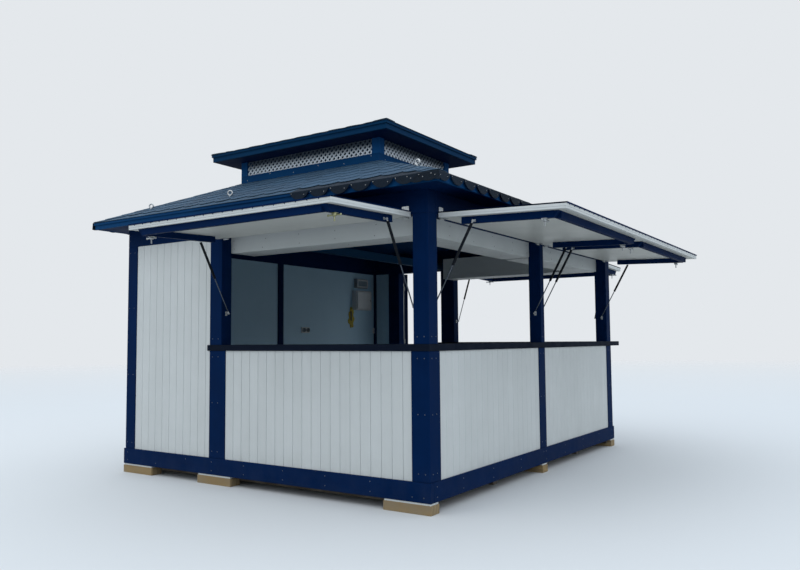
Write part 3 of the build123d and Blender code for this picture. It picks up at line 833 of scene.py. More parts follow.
def ball(
    name: str, centre: Point, radius: float, segments: int, rings: int, scale: Point = (1, 1, 1)
) -> Piece:
    """A smooth ball, or one drawn in.

    Args:
        name: Name of the object.
        centre: Its middle.
        radius: Radius.
        segments: Steps round it.
        rings: Steps from pole to pole.
        scale: How far it is drawn in along each axis.

    Returns:
        The ball.
    """
    clear()
    bpy.ops.mesh.primitive_uv_sphere_add(
        segments=segments, ring_count=rings, radius=radius, location=centre, scale=scale
    )
    obj = settle(name)
    bpy.ops.object.shade_smooth()
    return obj


def join(name: str, parts: list[Piece]) -> Piece:
    """Join objects into one.

    Args:
        name: Name of the joined object.
        parts: The objects.

    Returns:
        The joined object.
    """
    clear()
    for part in parts:
        part.select_set(True)
    bpy.context.view_layer.objects.active = parts[0]
    if len(parts) > 1:
        bpy.ops.object.join()
    parts[0].name = parts[0].data.name = name
    return parts[0]


def move(obj: Piece, matrix: Matrix) -> Piece:
    """Move a piece by its mesh.

    Args:
        obj: The object.
        matrix: Where it goes.

    Returns:
        The same object.
    """
    obj.data.transform(matrix)
    if matrix.determinant() < 0:
        obj.data.flip_normals()
    return obj


def twin(name: str, obj: Piece) -> Piece:
    """A copy of an object with its own mesh.

    Args:
        name: Name of the copy.
        obj: The object.

    Returns:
        The copy.
    """
    one = bpy.data.objects.new(name, obj.data.copy())
    bpy.context.scene.collection.objects.link(one)
    return one


def repeat(name: str, pattern: Piece, places: list[Matrix], seed: int = 1) -> Piece:
    """Copy one modelled piece to each place, each copy with its own tone, and join them.

    Args:
        name: Name of the joined object.
        pattern: The modelled piece, which is used up.
        places: One matrix for each copy.
        seed: Seed of the tones.

    Returns:
        The joined object.
    """
    draw = random.Random(seed)
    parts = []
    for matrix in places:
        one = move(twin(name, pattern), matrix)
        tone = one.data.attributes.get("tone") or one.data.attributes.new("tone", "FLOAT", "POINT")
        tone.data.foreach_set("value", [draw.random()] * len(one.data.vertices))
        parts.append(one)
    bpy.data.objects.remove(pattern)
    return join(name, parts)


def cut(obj: Piece, point: Point, normal: Point) -> None:
    """Cut away what lies on the side that the normal points to, and close the cut.

    Args:
        obj: The object.
        point: A point of the cut.
        normal: Direction of what goes.
    """
    edit(obj)
    bpy.ops.mesh.bisect(plane_co=point, plane_no=normal, use_fill=True, clear_outer=True)
    done()


def score(obj: Piece, axis: Grain, spots: list[float]) -> None:
    """Divide the faces of a mesh at places along one axis.

    Args:
        obj: The object.
        axis: The axis.
        spots: The places.
    """
    across = Vector(int(i == axis.value) for i in range(3))
    for spot in spots:
        edit(obj)
        bpy.ops.mesh.bisect(plane_co=across * spot, plane_no=across)
        done()


def matched(
    name: str,
    size: tuple[Point, Point],
    axis: Grain,
    bevel: float,
    run: Span,
    seed: int,
    only: Callable | None = None,
) -> Piece:
    """Matched boards: one chamfered board copied along X, and the last one cut.

    Args:
        name: Name of the joined boards.
        size: Opposite corners of the board, its near side at X 0.
        axis: Direction of the boards.
        bevel: Width of the chamfer.
        run: Where the boards start and end.
        seed: Seed of the tones.
        only: Takes an end of an edge and says if the edge is chamfered.

    Returns:
        The boards.
    """
    one = block(name, *size, 0)
    chamfer(one, axis, bevel, only=only)
    start, end = run
    count = math.ceil((end - start) / PLAN.board)
    boards = repeat(name, one, [shift(start + PLAN.board * i) for i in range(count)], seed)
    cut(boards, (end, 0, 0), (1, 0, 0))
    return boards


def copy_node(node: str, name: str, ease: float, segments: int = 2) -> Piece:
    """A copy of a CAD node with merged faces and eased edges.

    Args:
        node: Name of the node.
        name: Name of the copy.
        ease: Width of the eased edges.
        segments: Steps of the ease.

    Returns:
        The copy.
    """
    obj = twin(name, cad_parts[node])
    obj.data.materials.clear()
    edit(obj)
    bpy.ops.mesh.customdata_custom_splitnormals_clear()
    bpy.ops.mesh.remove_doubles(threshold=1e-5)
    bpy.ops.mesh.dissolve_limited(angle_limit=math.radians(1))
    done()
    bpy.ops.object.shade_flat()
    modify(obj, "BEVEL", width=ease, segments=segments, limit_method="ANGLE", angle_limit=math.radians(40))
    return obj


def paint(obj: Piece, finish: Finish) -> Piece:
    """Give a part its finish.

    Args:
        obj: The part.
        finish: The finish.

    Returns:
        The same part.
    """
    obj.data.materials.clear()
    obj.data.materials.append(finish.material())
    return obj


def hand_over(obj: Piece, body: str, slot: str, *replaced: str) -> None:
    """Let a finished piece ride on its body.

    Args:
        obj: The piece.
        body: CAD body.
        slot: Material slot of the record; not used.
        replaced: CAD nodes that it stands for.
    """
    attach(obj, body)
    if replaced:
        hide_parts(*replaced)
    log.info("%s on %s: %d faces", obj.name, body, len(obj.data.polygons))


def ease_node(node: str, name: str, ease: float, finish: Finish, slot: str, segments: int = 2) -> None:
    """Let an eased and finished copy of a node of the base stand for it.

    Args:
        node: Name of the node.
        name: Name of the copy.
        ease: Width of the eased edges.
        finish: Its finish.
        slot: Material slot of the record.
        segments: Steps of the ease.
    """
    hand_over(paint(copy_node(node, name, ease, segments), finish), "base", slot, node)


def dress(node: str, finish: Finish) -> None:
    """Give a CAD node that stays a better material."""
    paint(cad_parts[node], finish)
    log.info("%s keeps its shape, %s", node, finish.name)


class Screws:
    """Countersunk screw heads, one modelled head copied to each place."""

    def __init__(self, name: str, radius: float = 0.0045, proud: float = 0.0012) -> None:
        """Start with no places.

        Args:
            name: Name of the joined piece.
            radius: Radius of a head.
            proud: How far a head stands out.
        """
        self.name = name
        self.radius = radius
        self.proud = proud
        self.sunk = 0.002
        self.places: list[Matrix] = []

    def put(self, point: Point, outward: Point, place: Matrix = Matrix()) -> None:
        """Add a head.

        Args:
            point: Where it sits on the face.
            outward: Direction out of the face.
            place: Matrix from the axes of both to the kiosk's.
        """
        out = place.to_3x3() @ Vector(outward)
        turn = out.to_track_quat("Z", "Y").to_matrix().to_4x4()
        self.places.append(Matrix.Translation(place @ Vector(point)) @ turn)

    def grid(self, outward: Point, *spots: Row) -> None:
        """Add a head at each crossing.

        Args:
            outward: Direction out of the face.
            spots: The places along X, along Y and along Z.
        """
        for point in product(*spots):
            self.put(point, outward)

    def make(self, finish: Finish) -> Piece:
        """Model the head with its recess and copy it.

        Args:
            finish: Finish of the heads.

        Returns:
            The joined heads.
        """
        clear()
        middle = (0, 0, (self.proud - self.sunk) / 2)
        bpy.ops.mesh.primitive_cylinder_add(
            vertices=10, radius=self.radius, depth=self.proud + self.sunk, location=middle
        )
        head = settle("screw_head")
        rings = (self.radius * 0.25, self.radius * 0.35)
        recess(head, lambda face: face.normal.z > 0.9, rings, (0, 0, -self.proud * 1.4))
        return paint(repeat(self.name, head, self.places), finish)


# Sub-assemblies


@dataclass
class Footing:
    """Blocks, shims, skirt boards and the floor."""

    skirt_gap: float = 0.0012
    ease: float = 0.003
    floor_pitch: float = 0.121
    floor_gap: float = 0.003
    screw_heights: Row = (0.122, 0.197)
    screws_x: Row = (-1.70, -1.28, -0.86, -0.52, -0.12, 0.33, 0.78, 1.22, 1.60, 1.70)
    screws_y: Row = (-2.02, -1.62, -1.1, -0.55, -0.03, 0.03, 0.52, 1.04, 1.56, 2.02)
    screw_share: float = 0.8

    def build(self) -> None:
        """Make and dress every piece."""
        ease_node("support_blocks", "sawn_blocks", self.ease, pine, "bare_wood")
        ease_node("shims", "white_shims", self.ease / 2, white_x, "white_paint", 1)
        self.skirt()
        self.floor()
        dress("floor_bearers", bearer_pine_painted_shade)

    def skirt(self) -> None:
        """Four skirt boards that butt at the corners, with their screws."""
        hx, hy = PLAN.half_w + PLAN.sill_proud, PLAN.half_d + PLAN.sill_proud
        t, low, high = PLAN.sill_t, PLAN.sill_bottom, PLAN.sill_top
        end = hy - t - self.skirt_gap
        boards = []
        for side in (-1, 1):
            long_one = block("skirt", (-hx, side * hy, low), (hx, side * (hy - t), high), self.ease)
            short = block("skirt", (side * hx, -end, low), (side * (hx - t), end, high), self.ease)
            boards += [paint(long_one, navy_x), paint(short, navy_y)]
        hand_over(join("skirt_boards", boards), "base", "navy_paint", "sill_frame")
        heads = Screws("skirt_screws")
        draw = random.Random(5)
        for x, side, height in product(self.screws_x, (-1, 1), self.screw_heights):
            if draw.random() < self.screw_share:
                heads.put((x, side * hy, height), (0, side, 0))
        for y, side, height in product(self.screws_y, (-1, 1), self.screw_heights):
            if draw.random() < self.screw_share:
                heads.put((side * hx, y, height), (side, 0, 0))
        hand_over(heads.make(screw_steel), "base", "bright_steel")

    def floor(self) -> None:
        """Floor boards with open joints."""
        inset = PLAN.sill_proud - PLAN.sill_t
        hx, hy, top = PLAN.half_w + inset, PLAN.half_d + inset, PLAN.floor_top
        count = round(2 * hy / self.floor_pitch)
        wide = 2 * hy / count
        one = block("floor_board", (-hx, 0, top - PLAN.floor_t), (hx, wide - self.floor_gap, top), 0.002, 1)
        places = [shift(0, -hy + wide * i + self.floor_gap / 2) for i in range(count)]
        boards = paint(repeat("floor_boards", one, places, 3), floor_board)
        hand_over(boards, "base", "floor_wood", "floor_deck")


@dataclass
class PostFrame:
    """Posts and beams."""

    ease: float = 0.004
    screws_y: Row = (-2.06, -2.0, -0.04, 0.04, 2.0, 2.06)
    beam_screws_y: Row = (-2.06, -2.0, 0.012, 0.053, 2.0, 2.06)
    low_rows: Row = (0.29, 0.72, 1.13)
    top_row: float = 1.29

    def build(self) -> None:
        """Ease and paint the posts and beams, and put screws in."""
        for node, finish in (("frame_posts", navy_up), ("ring_beam", navy_x), ("tie_beam", navy_room_painted_light_y)):
            ease_node(node, "painted_" + node.removeprefix("frame_"), self.ease, finish, "navy_paint")
        heads = Screws("post_screws")
        front, right = (-PLAN.half_d,), (PLAN.half_w,)
        mid = PLAN.front_mid
        heads.grid((0, -1, 0), (mid + 0.04, mid + 0.11, 1.65, 1.71), front, (*self.low_rows, self.top_row))
        heads.grid((1, 0, 0), right, self.screws_y, self.low_rows)
        heads.grid((1, 0, 0), right, self.beam_screws_y, (self.top_row,))
        heads.grid((0, -1, 0), (-1.72, -1.65), front, (0.29, 0.95, 1.6, 2.15))
        hand_over(heads.make(screw_steel), "base", "bright_steel")


@dataclass
class BoardWall:
    """One wall bay: matched boards outside, a core, and a smooth lining inside."""

    name: str
    side: Side
    origin: Span
    width: float
    low: float
    high: float
    board_t: float = 0.018
    lining_t: float = 0.012
    joint: float = 0.0016
    chamfer: float = 0.0034

    def build(self) -> Piece:
        """Lay the boards along the bay and back them.

        Returns:
            The bay.
        """
        size = (0, 0, self.low), (PLAN.board - self.joint, self.board_t, self.high)
        seed = sum(map(ord, self.name))
        face = matched(self.name, size, Grain.Z, self.chamfer, (0, self.width), seed, lambda a: a.y < 1e-4)
        back = PLAN.wall_t - self.lining_t
        core = block("core", (0, self.board_t + 0.001, self.low), (self.width, back, self.high), 0.002)
        inner = block("lining", (0, back, self.low), (self.width, PLAN.wall_t, self.high), 0.0015, 1)
        whole = join(self.name, [paint(face, white_up), paint(core, white_up), paint(inner, lining)])
        return move(whole, self.side.place(*self.origin))


@dataclass
class Walls:
    """All the wall bays."""

    def build(self) -> None:
        """Make each bay in the place of its CAD solid."""
        x, y = PLAN.half_w - PLAN.wall_recess, PLAN.half_d - PLAN.wall_recess
        full = (PLAN.sill_top, PLAN.beam_bottom)
        low = (PLAN.sill_top, PLAN.counter_bottom)
        left, far = -PLAN.half_w + PLAN.post_w, PLAN.half_d - PLAN.post_w
        bay, half = far - PLAN.stud_w / 2, PLAN.mid_post_w / 2
        x0 = PLAN.front_mid + PLAN.mid_post_w + PLAN.mid_stile_w
        x1, y1 = PLAN.half_w - PLAN.corner_low, PLAN.half_d - PLAN.corner_low
        rows = {
            "front_wall": [("front_bay_boards", Side.FRONT, (left, -y), PLAN.front_mid - left)],
            "left_wall_bays": [
                ("left_far_boards", Side.LEFT, (-x, far), bay),
                ("left_near_boards", Side.LEFT, (-x, -PLAN.stud_w / 2), bay),
            ],
            "back_wall": [("back_bay_boards", Side.BACK, (PLAN.door_post, y), PLAN.door_post - left)],
            "counter_panels": [
                ("front_counter_boards", Side.FRONT, (x0, -y), x1 - x0),
                ("right_near_boards", Side.RIGHT, (x, -y1), y1 - half),
                ("right_far_boards", Side.RIGHT, (x, half), y1 - half),
                ("back_counter_boards", Side.BACK, (x1, y), x1 - PLAN.back_mid),
            ],
        }
        names = ("front_bay_boards", "left_bay_boards", "back_bay_boards", "counter_panel_boards")
        for name, (node, bays) in zip(names, rows.items()):
            heights = low if node == "counter_panels" else full
            made = [BoardWall(*sizes, *heights).build() for sizes in bays]
            hand_over(join(name, made), "base", "white_paint", node)


@dataclass
class Counters:
    """Dark counters round three sides."""

    ease: float = 0.004

    def build(self) -> None:
        """Ease and stain each counter."""
        for side, finish in (("front", counter_x), ("right", counter_y), ("back", counter_x)):
            ease_node(side + "_counter", side + "_counter_board", self.ease, finish, "dark_counter")


@dataclass
class Headers:
    """White boxed headers: a face board with screws, matched boards below, and a lining towards the room."""

    face_t: float = 0.02
    under_t: float = 0.014
    joint: float = 0.002
    gap: float = 0.001
    strip_h: float = 0.053
    strip_t: float = 0.004
    screw_pitch: float = 0.42
    screw_end: float = 0.05
    screw_rows: Row = (2.098, 2.175)
    under_screws: float = 0.13

    def build(self) -> None:
        """Make the four headers. Where two meet at a corner, the side one keeps only its face."""
        w, d = PLAN.half_w - PLAN.beam_t, PLAN.half_d - PLAN.beam_t
        near = PLAN.front_mid + PLAN.mid_post_w + self.gap
        side_end = PLAN.half_w - PLAN.post_w - self.gap
        end = PLAN.half_d - PLAN.post_w - self.gap
        half = PLAN.mid_post_w / 2
        notch = PLAN.header_reach - PLAN.post_w
        parts = []
        heads = Screws("header_screws", 0.004, 0.0006)
        draw = random.Random(8)
        for side, origin, width, start, stop in (
            (Side.FRONT, (near, -d), side_end - near, 0.0, 0.0),
            (Side.RIGHT, (w, -end), end + half - PLAN.upper_mid_w - self.gap, notch, 0.0),
            (Side.RIGHT, (w, half + self.gap), end - half - self.gap, 0.0, notch),
            (Side.BACK, (side_end, d), side_end - PLAN.back_mid - self.gap, 0.0, 0.0),
        ):
            parts.append(self.one(side, origin, width, start, stop))
            place = side.place(*origin)
            step = width / round(width / self.screw_pitch)
            for i in range(round(width / step) + 1):
                x = min(max(step * i, self.screw_end), width - self.screw_end)
                for z in self.screw_rows:
                    point = (x + draw.uniform(-0.02, 0.02), 0, z + draw.uniform(-0.008, 0.008))
                    heads.put(point, (0, -1, 0), place)
                if start < x < width - stop:
                    heads.put((x + 0.03, self.under_screws, PLAN.header_bottom), (0, 0, -1), place)
        hand_over(join("header_boards", parts), "base", "white_paint", "header_boxes")
        hand_over(heads.make(dark_screw_and_hole_shade), "base", "bright_steel")

    def one(self, side: Side, origin: Span, width: float, start: float, stop: float) -> Piece:
        """One header in its place.

        Args:
            side: Side of the kiosk.
            origin: Near outer corner.
            width: Length along the side.
            start: Length at its start that another header takes up behind the face.
            stop: The same at its end.

        Returns:
            The header.
        """
        bottom, top = PLAN.header_bottom, PLAN.header_top
        deep = PLAN.header_reach - PLAN.beam_t
        inner, edge = deep - self.strip_t, bottom + self.strip_h
        along, across = (white_x, white_y) if side in (Side.FRONT, Side.BACK) else (white_y, white_x)
        first, last = start + self.gap, width - stop - self.gap
        upper = bottom + self.under_t
        size = (0, self.face_t * 0.4, bottom), (PLAN.board - self.joint, deep, upper)
        under = matched("under", size, Grain.Y, 0.004, (first, last), 21, lambda a: a.z < bottom + 1e-4)
        parts = [
            paint(block("face", (0, 0, bottom + 0.002), (width, self.face_t, top), 0.0025), along),
            paint(block("core", (first, self.face_t, upper), (last, inner, top), 0.002), along),
            paint(under, across),
            paint(block("strip", (first, inner, bottom + 0.004), (last, deep, edge), 0.0015, 1), along),
            paint(block("upper", (first, inner, edge + 0.003), (last, deep - 0.001, top), 0.0015, 1), along),
        ]
        return move(join("header", parts), side.place(*origin))


@dataclass
class TabbedSlope:
    """One roof slope laid with round tab shingles, cut along its hips."""

    name: str
    low_a: Vector
    low_b: Vector
    top_b: Vector
    top_a: Vector
    hang_from: float = 0.0
    first_tab: float = 0.054
    whole_from: float = 100.0
    whole_to: float = -100.0
    tab_w: float = 0.2
    slit: float = 0.004
    exposure: float = 0.145
    tab_len: float = 0.32
    tab_t: float = 0.0034
    lift: float = 0.0075
    arc_h: float = 0.058
    arc_steps: int = 8
    hang: float = 0.068
    fold: float = 0.006
    plumb: float = 88.0
    proud: float = 0.003

    def axes(self) -> Matrix:
        """Matrix of the slope: X along the eave, Y up the slope, Z out of it.

        Returns:
            Matrix from the slope's own frame to the kiosk's.
        """
        u = (self.low_b - self.low_a).normalized()
        n = u.cross((self.top_a + self.top_b) / 2 - self.low_a).normalized()
        return Matrix.Translation(self.low_a) @ Matrix((u, n.cross(u), n)).transposed().to_4x4()

    def normal(self) -> Vector:
        """Direction out of the slope."""
        return self.axes().to_3x3() @ Vector((0, 0, 1))

    def tab(self, name: str) -> Piece:
        """A flat tab, its lower end a shallow arc.

        Args:
            name: Name of the object.

        Returns:
            The tab with its tip at Y 0, its middle at X 0.
        """
        wide = self.tab_w - self.slit
        made = flat(name, wide, self.tab_len)
        score(made, Grain.X, [wide * (step / self.arc_steps - 0.5) for step in range(1, self.arc_steps)])
        radius = ((wide / 2) ** 2 + self.arc_h**2) / (2 * self.arc_h)
        for vertex in made.data.vertices:
            if vertex.co.y < self.arc_h:
                vertex.co.y = radius - math.sqrt(radius**2 - vertex.co.x**2)
        return made

    def hanging_tab(self, down: float) -> Piece:
        """A tab that bends down over the eave in three folds.

        Args:
            down: Whole angle of the bend.

        Returns:
            The tab, its bend at Y 0.
        """
        made = move(self.tab("eave_tab"), shift(0, -self.hang))
        folds = ((-self.fold, 0.3), (-self.fold / 2, 0.4), (0.0, 0.3))
        score(made, Grain.Y, [y for y, _ in folds])
        modify(made, "SOLIDIFY", thickness=self.tab_t, offset=1.0)
        for y, share in folds:
            hinge = Vector((0, y, 0))
            turn = Matrix.Rotation(down * share, 3, "X")
            for vertex in made.data.vertices:
                if vertex.co.y < y - 1e-5:
                    vertex.co = hinge + turn @ (vertex.co - hinge)
        return made

    def build(self) -> Piece:
        """Lay the courses and cut them along the hips and at the top.

        Returns:
            The shingles of the slope.
        """
        axes = self.axes()
        top = (axes.inverted() @ self.top_a).y
        rise = self.top_a.z - self.low_a.z
        down = math.radians(self.plumb) - math.atan2(rise, math.sqrt(max(top * top - rise * rise, 1e-9)))
        draw = random.Random(len(self.name) + 11)
        count = math.ceil((self.low_b - self.low_a).length / self.tab_w) + 1
        tilt = Matrix.Rotation(-self.lift / self.tab_len, 4, "X")
        places: list[Matrix] = []
        course = 1
        while course * self.exposure - self.hang < top + 0.02:
            v = course * self.exposure - self.hang
            for i in range(count):
                u = (i + course % 2 / 2) * self.tab_w + draw.uniform(-0.0015, 0.0015)
                w = self.proud + self.lift + draw.uniform(-0.0006, 0.0012)
                lean = Matrix.Rotation(draw.uniform(-0.004, 0.004), 4, "Z")
                places.append(shift(u, v + draw.uniform(-0.002, 0.002), w) @ lean @ tilt)
            course += 1
        one = self.tab("tab")
        modify(one, "SOLIDIFY", thickness=self.tab_t, offset=1.0)
        parts = [paint(repeat("courses", one, places, len(places)), shingle)]
        edge, plain = [], []
        for i in range(-1, count):
            u = i * self.tab_w + self.first_tab + draw.uniform(-0.001, 0.001)
            lean = Matrix.Rotation(draw.uniform(-0.01, 0.01), 4, "Z")
            (edge if u >= self.hang_from else plain).append(shift(u, -0.001, self.proud) @ lean)
            between = u + self.tab_w / 2
            if between > self.whole_from or between < self.whole_to:
                edge.append(shift(between, -0.001, self.proud - 0.0015))
        if edge:
            parts.append(paint(repeat("eave_course", self.hanging_tab(down), edge, 4), eave_shingle_painted_shade))
            parts.append(self.nails(edge, down))
        if plain:
            half = self.tab_w / 2 + 0.001
            strip = block("strip", (-half, -0.004, 0), (half, self.tab_len / 2, self.tab_t), 0.0008, 1)
            parts.append(paint(repeat("eave_strip", strip, plain, 6), shingle))
        return self.trim(move(join(self.name, parts), axes))

    def trim(self, whole: Piece) -> Piece:
        """Cut the shingles along the hips and at the top.

        Args:
            whole: The shingles.

        Returns:
            The same shingles.
        """
        up_z, along_eave = Vector((0, 0, 1)), (self.low_b - self.low_a).normalized()
        hips = ((self.low_a, self.top_a, -along_eave), (self.low_b, self.top_b, along_eave))
        for low, high, toward in hips:
            out = up_z.cross(Vector((high.x - low.x, high.y - low.y, 0))).normalized()
            cut(whole, low, out if out.dot(toward) >= 0 else -out)
        up = up_z.cross(along_eave).normalized()
        if (self.top_b - self.top_a).length > 0.01:
            cut(whole, self.top_a, up if up.dot(self.top_a - self.low_a) >= 0 else -up)
        return whole

    def nails(self, tabs: list[Matrix], down: float) -> Piece:
        """Galvanised clout nails through the hanging tabs.

        Args:
            tabs: Places of the hanging tabs.
            down: Whole angle of their bend.

        Returns:
            The nail heads.
        """
        turn = Matrix.Rotation(down, 4, "X")
        heads = Screws("clout_nails", 0.0028, 0.001)
        for tab, (x, low) in product(tabs, ((-0.08, 0.014), (0.052, 0.03))):
            heads.places.append(tab @ turn @ shift(x, -low, self.fold + self.tab_t))
        return heads.make(zinc)


@dataclass
class HipCaps:
    """Cap shingles folded over one hip or ridge, lapped up the hip."""

    low: Vector
    high: Vector
    normal_a: Vector
    normal_b: Vector
    half: float = 0.09
    cap_len: float = 0.24
    exposure: float = 0.145
    cap_t: float = 0.004
    over: float = 0.004
    lap: float = 0.008
    soft: float = 0.02

    def build(self) -> Piece:
        """Fold one cap and copy it along the hip.

        Returns:
            The caps.
        """
        y = (self.high - self.low).normalized()
        z = (self.normal_a + self.normal_b).normalized()
        z = (z - y * z.dot(y)).normalized()
        turn = Matrix.Translation(self.low) @ Matrix((y.cross(z), y, z)).transposed().to_4x4()
        drop = math.tan(math.acos(max(-1.0, min(1.0, self.normal_a.normalized().dot(z)))))
        cap = flat("cap", self.half * 2, self.cap_len)
        pick(cap, "VERT", lambda vertex: vertex.co.y < 0.01)
        bpy.ops.mesh.bevel(offset=0.03, segments=3, affect="VERTICES")
        done()
        score(cap, Grain.X, [-self.soft, 0.0, self.soft])
        for vertex in cap.data.vertices:
            across = abs(vertex.co.x)
            vertex.co.z = -across * drop - max(0.0, self.soft - across) * 0.35 * drop
        modify(cap, "SOLIDIFY", thickness=self.cap_t, offset=1.0)
        length = (self.high - self.low).length
        lean = Matrix.Rotation(-self.lap / self.cap_len, 4, "X")
        places = []
        at = 0.0
        while at < length - 0.02:
            places.append(turn @ shift(0, at, self.over + self.lap) @ lean)
            at += self.exposure
        caps = repeat("caps", cap, places, 9)
        cut(caps, self.high + y * 0.02, y)
        return paint(caps, shingle)


@dataclass
class Roof:
    """A hip roof's shingles and caps on its CAD slabs."""

    name: str
    half_w: float
    half_d: float
    centre_y: float
    eave: float
    top_w: float
    top_d: float
    top_y: float
    top: float
    edges: dict[str, dict[str, float]]
    cap_past: float = 0.004

    def corners(self, w: float, d: float, y: float, z: float) -> list[Vector]:
        """Four corners at one height, anticlockwise from front left."""
        return [Vector((-w, y - d, z)), Vector((w, y - d, z)), Vector((w, y + d, z)), Vector((-w, y + d, z))]

    def build(self) -> None:
        """Lay the four slopes and cap the hips."""
        low = self.corners(self.half_w, self.half_d, self.centre_y, self.eave)
        high = self.corners(self.top_w, self.top_d, self.top_y, self.top)
        slopes = []
        for i, side in enumerate(("front", "right", "back", "left")):
            j = (i + 1) % 4
            name = f"{self.name}_{side}_shingles"
            slopes.append(TabbedSlope(name, low[i], low[j], high[j], high[i], **self.edges.get(side, {})))
        for slope in slopes:
            hand_over(slope.build(), "base", "shingle")
        caps = []
        for i in range(4):
            sides = (slopes[i].normal(), slopes[i - 1].normal())
            cap = HipCaps(low[i], high[i], *sides).build()
            for side in sides:
                out = Vector((side.x, side.y, 0)).normalized()
                cut(cap, low[i] + out * self.cap_past, out)
            caps.append(cap)
        if (high[1] - high[2]).length < 0.01:
            caps.append(HipCaps(high[0], high[1], slopes[0].normal(), slopes[2].normal()).build())
        hand_over(join(f"{self.name}_hip_caps", caps), "base", "shingle")


@dataclass
class LiftingEyes:
    """Ring bolts through the roof for the crane: ring, shank, nut and washer."""

    ring: float = 0.021
    bar: float = 0.007
    seat: float = 0.018
    inset: float = 0.03
    end_run: float = 0.898
    far_run: float = 2.534

    def build(self) -> None:
        """Model one and copy it to its six places."""
        clear()
        bpy.ops.mesh.primitive_torus_add(
            major_radius=self.ring,
            minor_radius=self.bar,
            major_segments=28,
            minor_segments=12,
            rotation=(math.radians(90), 0, 0),
        )
        ring = settle("ring")
        bpy.ops.object.shade_smooth()
        low = -self.ring - self.bar
        shank = rod("shank", (0, 0, low - 0.05), (0, 0, low + 0.008), 0.008, 16)
        nut = rod("nut", (0, 0, low - 0.012), (0, 0, low), 0.0155, 6, 0.0015)
        washer = rod("washer", (0, 0, low - 0.016), (0, 0, low - 0.012), 0.024, 24, 0.0008)
        one = join("eye", [ring, shank, nut, washer])
        places = []
        rows = (-PLAN.half_w + 0.3, -PLAN.half_w + 1.4, PLAN.half_w - 0.1)
        for x, (side, run) in product(rows, ((-1, self.end_run), (1, self.far_run))):
            rise = (PLAN.lantern_base - PLAN.eave_top) * (PLAN.eave_reach + self.inset) / run
            at = shift(x, side * (PLAN.half_d - self.inset), PLAN.eave_top + rise + self.seat + self.ring)
            places.append(at @ turned(20 if x < 0 else -15, "Z"))
        eyes = paint(repeat("lifting_ring_bolts", one, places), zinc)
        hand_over(eyes, "base", "bright_steel", "lifting_eyes")


@dataclass
class Roofs:
    """Both roofs with what carries them, and the lantern between.

    The round tabs that hang over the eave are not laid yet on the left part of the front, nor on the lantern.
    """

    front_tabs_from: float = 2.6
    front_first_tab: float = 0.1
    front_whole_from: float = 3.65
    right_whole_to: float = 0.12
    no_tabs: float = 100.0
    ease: float = 0.002
    screw_pitch: float = 0.3
    screw_end: float = 0.09

    def build(self) -> None:
        """Make every piece of the roofs."""
        dress("end_roof_slopes", navy_sky_lit_x)
        dress("side_roof_slopes", navy_sky_lit_x)
        dress("upper_roof", navy_dim_sky_lit_x)
        for node, name, finish in (
            ("eave_fascia", "painted_eave_fascia", navy_sky_lit_x),
            ("eave_soffit", "painted_eave_soffit", navy_x),
            ("lantern_base", "lantern_rails", navy_sky_lit_x),
            ("lantern_posts", "lantern_corner_posts", navy_sky_lit_up),
            ("lantern_head", "lantern_head_beams", navy_x),
            ("upper_soffit", "painted_upper_soffit", navy_x),
            ("upper_fascia", "painted_upper_fascia", navy_dim_sky_lit_x),
        ):
            ease_node(node, name, self.ease, finish, "navy_paint")
        dress("lantern_long_lattices", lattice_white_painted_light)
        dress("lantern_side_lattices", lattice_white_painted_light)
        y, half_w, half_d = PLAN.lantern_y, PLAN.upper_half_w, PLAN.upper_half_d
        front = {
            "hang_from": self.front_tabs_from,
            "first_tab": self.front_first_tab,
            "whole_from": self.front_whole_from,
        }
        Roof(
            name="lower",
            half_w=PLAN.half_w + PLAN.eave_reach,
            half_d=PLAN.half_d + PLAN.eave_reach,
            centre_y=0.0,
            eave=PLAN.eave_top,
            top_w=PLAN.lantern_half_w,
            top_d=PLAN.lantern_half_d,
            top_y=y,
            top=PLAN.lantern_base,
            edges={"front": front, "right": {"whole_to": self.right_whole_to}},
        ).build()
        Roof(
            name="upper",
            half_w=half_w,
            half_d=half_d,
            centre_y=y,
            eave=PLAN.upper_eave,
            top_w=half_w - half_d,
            top_d=0.0,
            top_y=y,
            top=PLAN.upper_eave + PLAN.upper_slope * half_d,
            edges={side: {"hang_from": self.no_tabs} for side in ("front", "right", "back", "left")},
        ).build()
        self.rail_screws()
        LiftingEyes().build()

    def rail_screws(self) -> None:
        """Galvanised screws along the rail under the lattices."""
        heads = Screws("lantern_rail_screws", 0.004, 0.0012)
        draw = random.Random(17)
        w, d, y = PLAN.lantern_half_w, PLAN.lantern_half_d, PLAN.lantern_y
        for run, half, out in ((w, d, (0, 1)), (d, w, (1, 0))):
            count = round(2 * run / self.screw_pitch)
            for i in range(count):
                along = -run + self.screw_end + 2 * (run - self.screw_end) * i / (count - 1)
                z = PLAN.rail_top - (0.02 if i % 2 else 0.05) + draw.uniform(-0.004, 0.004)
                for side in (-1, 1):
                    x, dy = (along, side * half) if out[1] else (side * half, along)
                    heads.put((x, y + dy, z), (side * out[0], side * out[1], 0))
        hand_over(heads.make(zinc), "base", "bright_steel")


